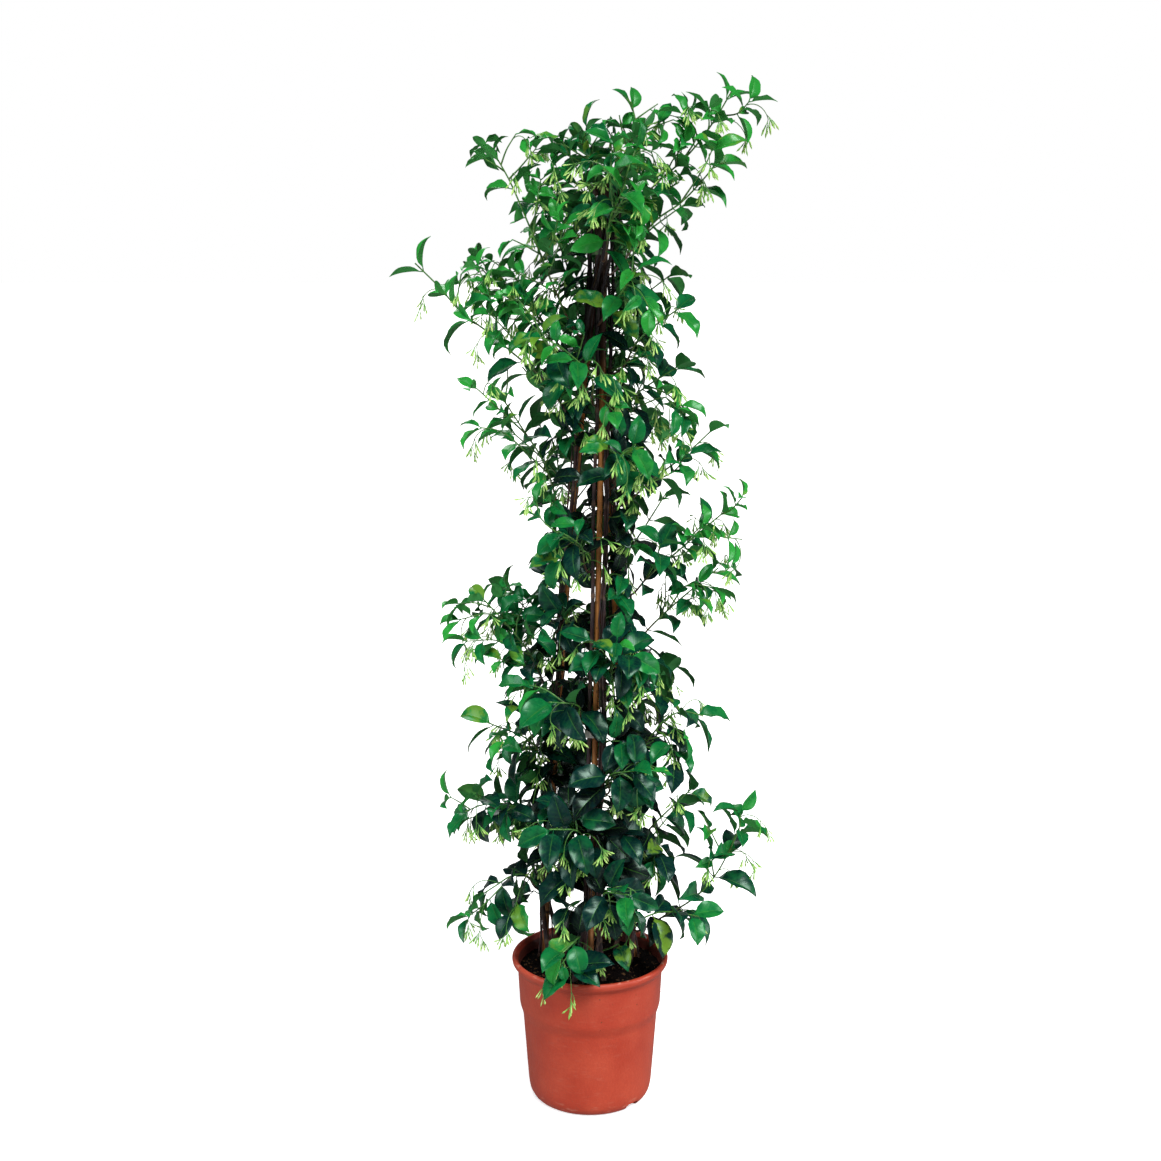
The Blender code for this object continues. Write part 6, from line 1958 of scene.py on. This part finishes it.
def tie_finish():
    """Soft green garden tie, faintly uneven."""
    material, tree = new_material("green_tie", Roughness=0.55)
    clouds = mottle(tree, 160.0)
    colour = blend_colours(clouds, (0.030, 0.070, 0.025), (0.070, 0.130, 0.045))
    return finish(material, colour, clouds, 0.0003, 0.5)


def clip_finish():
    """Pale milky plastic that lets some light through."""
    material, tree = new_material("milky_clip", Roughness=0.35, Transmission_Weight=0.25, IOR=1.49)
    clouds = mottle(tree, 120.0)
    colour = blend_colours(clouds, (0.270, 0.265, 0.235), (0.430, 0.420, 0.380))
    return finish(material, colour, clouds, 0.0002, 0.4)


# Pot and compost

POT_TURNS = 144
ROUNDING = 0.0034
ROUNDING_STEPS = 4
SOIL_TURNS = 72
SOIL_RINGS = 26
SOIL_ROUGH = 0.0009


def rounded_profile(points, size, steps):
    """The profile with every corner but its ends eased into a short curve."""
    eased = [Vector(points[0])]
    for before, corner, after in zip(points, points[1:], points[2:]):
        corner = Vector(corner)
        back = Vector(before) - corner
        ahead = Vector(after) - corner
        start = corner + back.normalized() * min(size, back.length * 0.42)
        end = corner + ahead.normalized() * min(size, ahead.length * 0.42)
        for i in range(steps + 1):
            t = i / steps
            eased.append(start.lerp(corner, t).lerp(corner.lerp(end, t), t))
    eased.append(Vector(points[-1]))
    return eased


def turned_piece(name, profile, turns):
    """A closed shape turned about Z from a profile of radius and height."""
    mesh = bpy.data.meshes.new(name)
    mesh.from_pydata([(p[0], 0.0, p[1]) for p in profile], [(i, i + 1) for i in range(len(profile) - 1)], [])
    ob = add_object(name, mesh)
    screw = ob.modifiers.new("Turn", "SCREW")
    screw.axis = "Z"
    screw.steps = turns
    screw.render_steps = turns
    screw.use_merge_vertices = True
    screw.merge_threshold = WELD
    apply_modifiers(ob)
    bm = bmesh.new()
    bm.from_mesh(ob.data)
    bmesh.ops.recalc_face_normals(bm, faces=bm.faces[:])
    bm.to_mesh(ob.data)
    bm.free()
    return ob


def shade_round(ob, angle):
    ob.data.shade_smooth()
    ob.data.set_sharp_from_angle(angle=math.radians(angle))


def set_material(ob, material):
    ob.data.materials.clear()
    ob.data.materials.append(material)


def notch_cutter(angle):
    """A rounded block that stands for one drain notch at the pot's foot."""
    depth = 0.030
    bm = bmesh.new()
    turn = Matrix.Rotation(math.radians(angle), 4, "Z")
    size = Matrix.Diagonal((depth, NOTCH_WIDTH, NOTCH_HEIGHT * 2.0, 1.0))
    middle = Matrix.Translation((NOTCH_INNER_RADIUS + depth / 2.0, 0.0, 0.0))
    bmesh.ops.create_cube(bm, size=1.0, matrix=turn @ middle @ size)
    upright = [e for e in bm.edges if all(v.co.z > 0.0 for v in e.verts)]
    bmesh.ops.bevel(bm, geom=upright, offset=0.0020, segments=3, affect="EDGES")
    mesh = bpy.data.meshes.new("notch_cutter")
    bm.to_mesh(mesh)
    bm.free()
    return bpy.data.objects.new("notch_cutter", mesh)


def make_pot(material):
    lip_foot = POT_HEIGHT - LIP_HEIGHT
    profile = [
        (0.0, POT_FLOOR),
        (BASE_RADIUS - 0.0025, POT_FLOOR),
        (BODY_FOOT_RADIUS - POT_WALL - 0.0030, 0.0080),
        (BODY_FOOT_RADIUS - POT_WALL, BODY_FOOT_Z),
        (BODY_TOP_RADIUS - POT_WALL, COLLAR_FOOT_Z - 0.0010),
        (COLLAR_FOOT_RADIUS - POT_WALL, COLLAR_FOOT_Z + 0.0030),
        (COLLAR_TOP_RADIUS - POT_WALL, lip_foot + 0.0020),
        (LIP_RADIUS - 0.0058, POT_HEIGHT - 0.0014),
        (LIP_RADIUS - 0.0036, POT_HEIGHT),
        (LIP_RADIUS - 0.0012, POT_HEIGHT - 0.0008),
        (LIP_RADIUS, POT_HEIGHT - 0.0034),
        (LIP_RADIUS - 0.0006, lip_foot + 0.0028),
        (LIP_RADIUS - 0.0032, lip_foot - 0.0006),
        (COLLAR_TOP_RADIUS + 0.0008, lip_foot - 0.0036),
        (COLLAR_TOP_RADIUS - 0.0002, lip_foot - 0.0085),
        (COLLAR_FOOT_RADIUS, COLLAR_FOOT_Z + 0.0040),
        (BODY_TOP_RADIUS, COLLAR_FOOT_Z - 0.0080),
        (BODY_FOOT_RADIUS, BODY_FOOT_Z),
        (BODY_FOOT_RADIUS - 0.0016, 0.0090),
        (BODY_FOOT_RADIUS - 0.0052, 0.0028),
        (BASE_RADIUS, 0.0),
        (0.0, 0.0),
    ]
    pot = turned_piece("nursery_pot", rounded_profile(profile, ROUNDING, ROUNDING_STEPS), POT_TURNS)
    cutters = bpy.data.collections.new("notch_cutters")
    bpy.context.scene.collection.children.link(cutters)
    for angle in NOTCH_ANGLES:
        cutters.objects.link(notch_cutter(angle))
    boolean = pot.modifiers.new("Notches", "BOOLEAN")
    boolean.operation = "DIFFERENCE"
    boolean.operand_type = "COLLECTION"
    boolean.collection = cutters
    boolean.solver = "EXACT"
    apply_modifiers(pot)
    for ob in list(cutters.objects):
        bpy.data.objects.remove(ob, do_unlink=True)
    bpy.data.collections.remove(cutters)
    shade_round(pot, 32.0)
    set_material(pot, material)
    settle(pot, "pot", "pot")


def soil_height(x, y):
    """A low uneven mound."""
    edge = math.hypot(x, y) / 0.085
    bumps = math.sin(x * 120.0 + 0.6) * math.cos(y * 95.0 - 0.4) + 0.6 * math.sin((x - y) * 210.0)
    return SOIL_TOP + SOIL_MOUND * 0.6 * (1.0 - edge * edge) + 0.0011 * bumps * (1.0 - edge ** 6)


def make_soil(material, crumbs):
    """The compost's plug with a rough top, strewn with crumbs and chips."""
    gap = POT_WALL + HOLE_GAP
    top_radius = lerp(COLLAR_FOOT_RADIUS, COLLAR_TOP_RADIUS, 0.86) - gap
    profile = [(top_radius * i / SOIL_RINGS, SOIL_TOP) for i in range(SOIL_RINGS + 1)]
    profile += [
        (COLLAR_FOOT_RADIUS - gap, COLLAR_FOOT_Z + 0.0036),
        (BODY_TOP_RADIUS - gap, COLLAR_FOOT_Z - 0.0012),
        (BODY_FOOT_RADIUS - gap, BODY_FOOT_Z + 0.0002),
        (BODY_FOOT_RADIUS - gap - 0.0031, 0.0084),
        (BASE_RADIUS - 0.0031, POT_FLOOR + GAP),
        (0.0, POT_FLOOR + GAP),
    ]
    soil = turned_piece("compost", profile, SOIL_TURNS)
    draw = random.Random(LOOKS_SEED)
    for vert in soil.data.vertices:
        if vert.co.z > SOIL_TOP - 0.0005:
            vert.co.z = soil_height(vert.co.x, vert.co.y) + draw.uniform(-SOIL_ROUGH, SOIL_ROUGH)
    set_material(soil, material)
    mesh = soil.data
    bpy.data.objects.remove(soil, do_unlink=True)
    soil = apply_tree(mesh, "compost", crumbs, {"Material": material})
    settle(soil, "soil", "soil")


# Canes, old stems, tie and clip

BAND_ROUNDING = 0.0004
CANE_TAPER = 0.86
# The old stems are a little thinner than the CAD model's, so that their swellings stay inside it
STEM_INSIDE = 0.94
CANE_TUBE = {"Sides": 18, "Step": 0.0022, "Joint Width": 0.0016, "Joint Swell": 0.00034, "Groove": 0.00028,
             "Roughness": 0.00008, "Lump Size": 60.0}
STEM_TUBE = {"Sides": 12, "Step": 0.0026, "Joint Width": 0.0030, "Joint Swell": 0.00042, "Groove": 0.00012,
             "Roughness": 0.00034, "Lump Size": 120.0}
TWINER_TUBE = {"Sides": 7, "Step": 0.0050, "Joint Width": 0.0028, "Joint Swell": 0.00030, "Groove": 0.00010,
               "Roughness": 0.00022, "Lump Size": 130.0}
TUBES = tube_tree()


def make_tube(name, mesh, look, pitch, start, seed, material, slot, *nodes):
    """Jointed tubes along the mesh's lines, as one piece."""
    joints = {"Joint Pitch": pitch, "Joint Start": start, "Seed": seed, "Material": material}
    settle(apply_tree(mesh, name, TUBES, {**look, **joints}, ("from_joint",)), slot, *nodes)


def line_mesh(name, route, radii):
    rows, lines = [], []
    add_line(rows, lines, route, radii, [0.0] * len(route))
    return rows_to_mesh(name, rows, lines)


def make_canes(material):
    for i, cane in enumerate(CANES):
        route = cane_route(cane)
        count = len(route) - 1
        radii = [CANE_RADIUS * lerp(1.0, CANE_TAPER, k / count) for k in range(count + 1)]
        name = "bamboo_" + cane
        make_tube(name, line_mesh(name, route, radii), CANE_TUBE, 0.128 + 0.011 * i, 0.03 + 0.041 * i,
                  float(i), material, "cane", "cane_" + cane)


def make_vines(material):
    for i, vine in enumerate(VINES):
        route = vine_route(vine)
        radii = [vine_radius(p.z) * STEM_INSIDE for p in route]
        name = "old_stem_" + vine.removeprefix("vine_")
        make_tube(name, line_mesh(name, route, radii), STEM_TUBE, 0.047 + 0.003 * i, 0.012 + 0.007 * i,
                  20.0 + i, material, "bark", vine)


def make_band(node, name, slot, material):
    """The CAD band with its edges and flats rounded."""
    source = frame["nodes"][node]
    mesh = source.data.copy()
    mesh.transform(source.matrix_world)
    mesh.name = name
    band = add_object(name, mesh)
    rounding = band.modifiers.new("Rounding", "BEVEL")
    rounding.width = BAND_ROUNDING
    rounding.segments = 3
    rounding.limit_method = "ANGLE"
    rounding.angle_limit = math.radians(12.0)
    apply_modifiers(band)
    shade_round(band, 50.0)
    set_material(band, material)
    settle(band, slot, node)


# Foliage

FINER_STEM = 4
FINE_TWIG_POINTS = 10
TWIG_ROOT_TONE = 0.35


def age_tones(count, start, end):
    return [lerp(start, end, i / (count - 1)) for i in range(count)]


def fine_stem(route, radii, count):
    """The same stem with more points on a smooth curve through its joints."""
    smoothed = smooth_route(route, count)
    last = len(radii) - 1
    thick = []
    for i in range(count):
        place = last * i / (count - 1)
        low = min(int(place), last - 1)
        thick.append(lerp(radii[low], radii[low + 1], place - low))
    return smoothed, thick


def make_foliage(name, entry, tree, materials, draw, nodes):
    """One shoot with its stem, twigs, leaves and buds, as one piece."""
    rows, lines = [], []
    if "route" in entry:
        count = len(entry["route"]) * FINER_STEM
        route, radii = fine_stem(entry["route"], entry["radii"], count)
        add_line(rows, lines, route, radii, age_tones(count, 0.0, 1.0))
    for route, radii in entry["twigs"]:
        route, radii = fine_stem(route, radii, FINE_TWIG_POINTS)
        add_line(rows, lines, route, radii, age_tones(FINE_TWIG_POINTS, TWIG_ROOT_TONE, 1.0))
    for leaf in entry["leaves"]:
        add_leaf(rows, leaf, draw)
    for bunch in entry["bunches"]:
        add_bunch(rows, lines, bunch, draw)
    if rows:
        mesh = rows_to_mesh(name, rows, lines)
        settle(apply_tree(mesh, name, tree, materials, ("tone", "blotch")), "leaf", *nodes)


def make_plant(bark):
    """Every shoot of the CAD model, finer and with more on it, and the spurs between them."""
    space = keep_outs()
    grown = grow_plant(space)
    for entry in grown.values():
        entry["twigs"] = []
    room = Room(space, CAD_BOX)
    draw = random.Random(LOOKS_SEED)
    hang_rim_sprig(grown["front_lowest"], room)
    make_twiners(bark, room)
    grow_sprays(grown, room, draw)
    grow_twigs(grown, room, draw)
    spurs = grow_spurs(room, draw)
    tree = leafy_tree()
    materials = {"Leaf Material": leaf_finish(), "Bud Material": bud_finish(), "Stem Material": stem_finish()}
    for name, entry in grown.items():
        make_foliage("foliage_" + name, entry, tree, materials, draw, ["shoot_" + name])
    for name, entry in spurs.items():
        make_foliage("spurs_" + name.removeprefix("vine_"), entry, tree, materials, draw, [])


# Floor, light and camera

PHOTO_SIDE = 1161.0
PHOTO_FOCAL = 1750.0
PHOTO_AXIS_X = 590.0
SENSOR = 36.0
CAMERA_PLACE = (0.0, -2.0, 1.05)
CAMERA_DOWN = 11.5
FLOOR_SIDE = 60.0
FLOOR_DROP = 0.0004
FLOOR_PALE = (1.0, 1.0, 1.0)
FLOOR_BOUNCE = 0.30
FLOOR_GLOW = 0.62
WORLD_LIGHT = 0.08
KEY_STRENGTH = 3.7
KEY_SPREAD = 24.0
KEY_WAY = (-0.30, 0.66, -0.95)
# Large soft lights: place, what it faces, size, power, colour
SOFT_LIGHTS = {
    "fill_light": ((-2.2, -1.3, 1.1), (0.0, 0.0, 0.6), 1.6, 44.0, (0.95, 0.98, 1.0)),
    "low_light": ((0.35, -1.25, 0.06), (0.0, 0.0, 0.10), 0.5, 5.0, (1.0, 0.98, 0.96)),
    "right_light": ((1.8, -0.55, 0.55), (0.0, 0.0, 0.40), 0.9, 18.0, (1.0, 1.0, 1.0)),
    "back_light": ((-0.6, 2.2, 2.6), (0.0, 0.0, 0.6), 1.4, 22.0, (1.0, 1.0, 1.0)),
}


def add_light(name, kind, power, colour, way):
    """A light that shines this way."""
    light = bpy.data.lights.new(name, kind)
    light.energy = power
    light.color = colour
    ob = add_object(name, light)
    ob.rotation_mode = "QUATERNION"
    ob.rotation_quaternion = Vector(way).to_track_quat("-Z", "Y")
    return ob


def make_lights():
    key = add_light("key_light", "SUN", KEY_STRENGTH, (1.0, 0.985, 0.95), KEY_WAY)
    key.data.angle = math.radians(KEY_SPREAD)
    for name, (place, aim, side, power, colour) in SOFT_LIGHTS.items():
        soft = add_light(name, "AREA", power, colour, Vector(aim) - Vector(place))
        soft.data.shape = "DISK"
        soft.data.size = side
        soft.location = place


def make_floor():
    """A plain pale floor that looks white to the camera and reflects less."""
    mesh = bpy.data.meshes.new("floor")
    bm = bmesh.new()
    bmesh.ops.create_grid(bm, x_segments=1, y_segments=1, size=FLOOR_SIDE / 2.0)
    bm.to_mesh(mesh)
    bm.free()
    mesh.transform(Matrix.Translation((0.0, 0.0, -FLOOR_DROP)))
    floor = add_object("floor", mesh)
    material, tree = new_material("pale_floor", Roughness=0.9, Specular_IOR_Level=0.1)
    shader = tree.nodes["Principled BSDF"]
    seen = output_of(tree, "ShaderNodeLightPath", "Is Camera Ray")
    blend_colours(seen, (FLOOR_BOUNCE,) * 3, FLOOR_PALE).into(shader.inputs["Base Color"])
    shader.inputs["Emission Color"].default_value = (1.0, 1.0, 1.0, 1.0)
    glow = seen * FLOOR_GLOW
    glow.into(shader.inputs["Emission Strength"])
    set_material(floor, material)


def make_world():
    """White to the camera, and a dim even light on the plant."""
    world = bpy.data.worlds.new("studio")
    bpy.context.scene.world = world
    world.use_nodes = True
    tree = world.node_tree
    shown = tree.nodes["Background"]
    shown.inputs["Color"].default_value = (1.0, 1.0, 1.0, 1.0)
    shown.inputs["Strength"].default_value = 1.0
    lit = output_of(tree, "ShaderNodeBackground", 0, {"Color": (0.93, 0.97, 1.0), "Strength": WORLD_LIGHT})
    seen = output_of(tree, "ShaderNodeLightPath", "Is Camera Ray")
    mix = {0: seen, 1: lit, 2: Wire(tree, shown.outputs[0])}
    output_of(tree, "ShaderNodeMixShader", 0, mix).into(tree.nodes["World Output"].inputs["Surface"])


def make_camera():
    camera = bpy.data.cameras.new("photo_view")
    camera.sensor_width = SENSOR
    camera.lens = SENSOR * PHOTO_FOCAL / PHOTO_SIDE
    camera.shift_x = -(PHOTO_AXIS_X - PHOTO_SIDE / 2.0) / PHOTO_SIDE
    ob = add_object("photo_view", camera)
    ob.location = CAMERA_PLACE
    ob.rotation_euler = (math.radians(90.0 - CAMERA_DOWN), 0.0, 0.0)
    bpy.context.scene.camera = ob
    view = bpy.context.scene.view_settings
    view.view_transform = "Standard"
    view.look = "None"
    view.exposure = 0.0
    view.gamma = 1.0


make_camera()
make_floor()
make_world()
make_lights()
BARK = bark_finish()
make_pot(pot_finish())
make_soil(soil_finish(), crumb_tree())
make_canes(cane_finish())
make_vines(BARK)
make_band("cane_tie", "garden_tie", "tie", tie_finish())
make_band("plant_clip", "milky_clip", "clip", clip_finish())
make_plant(BARK)
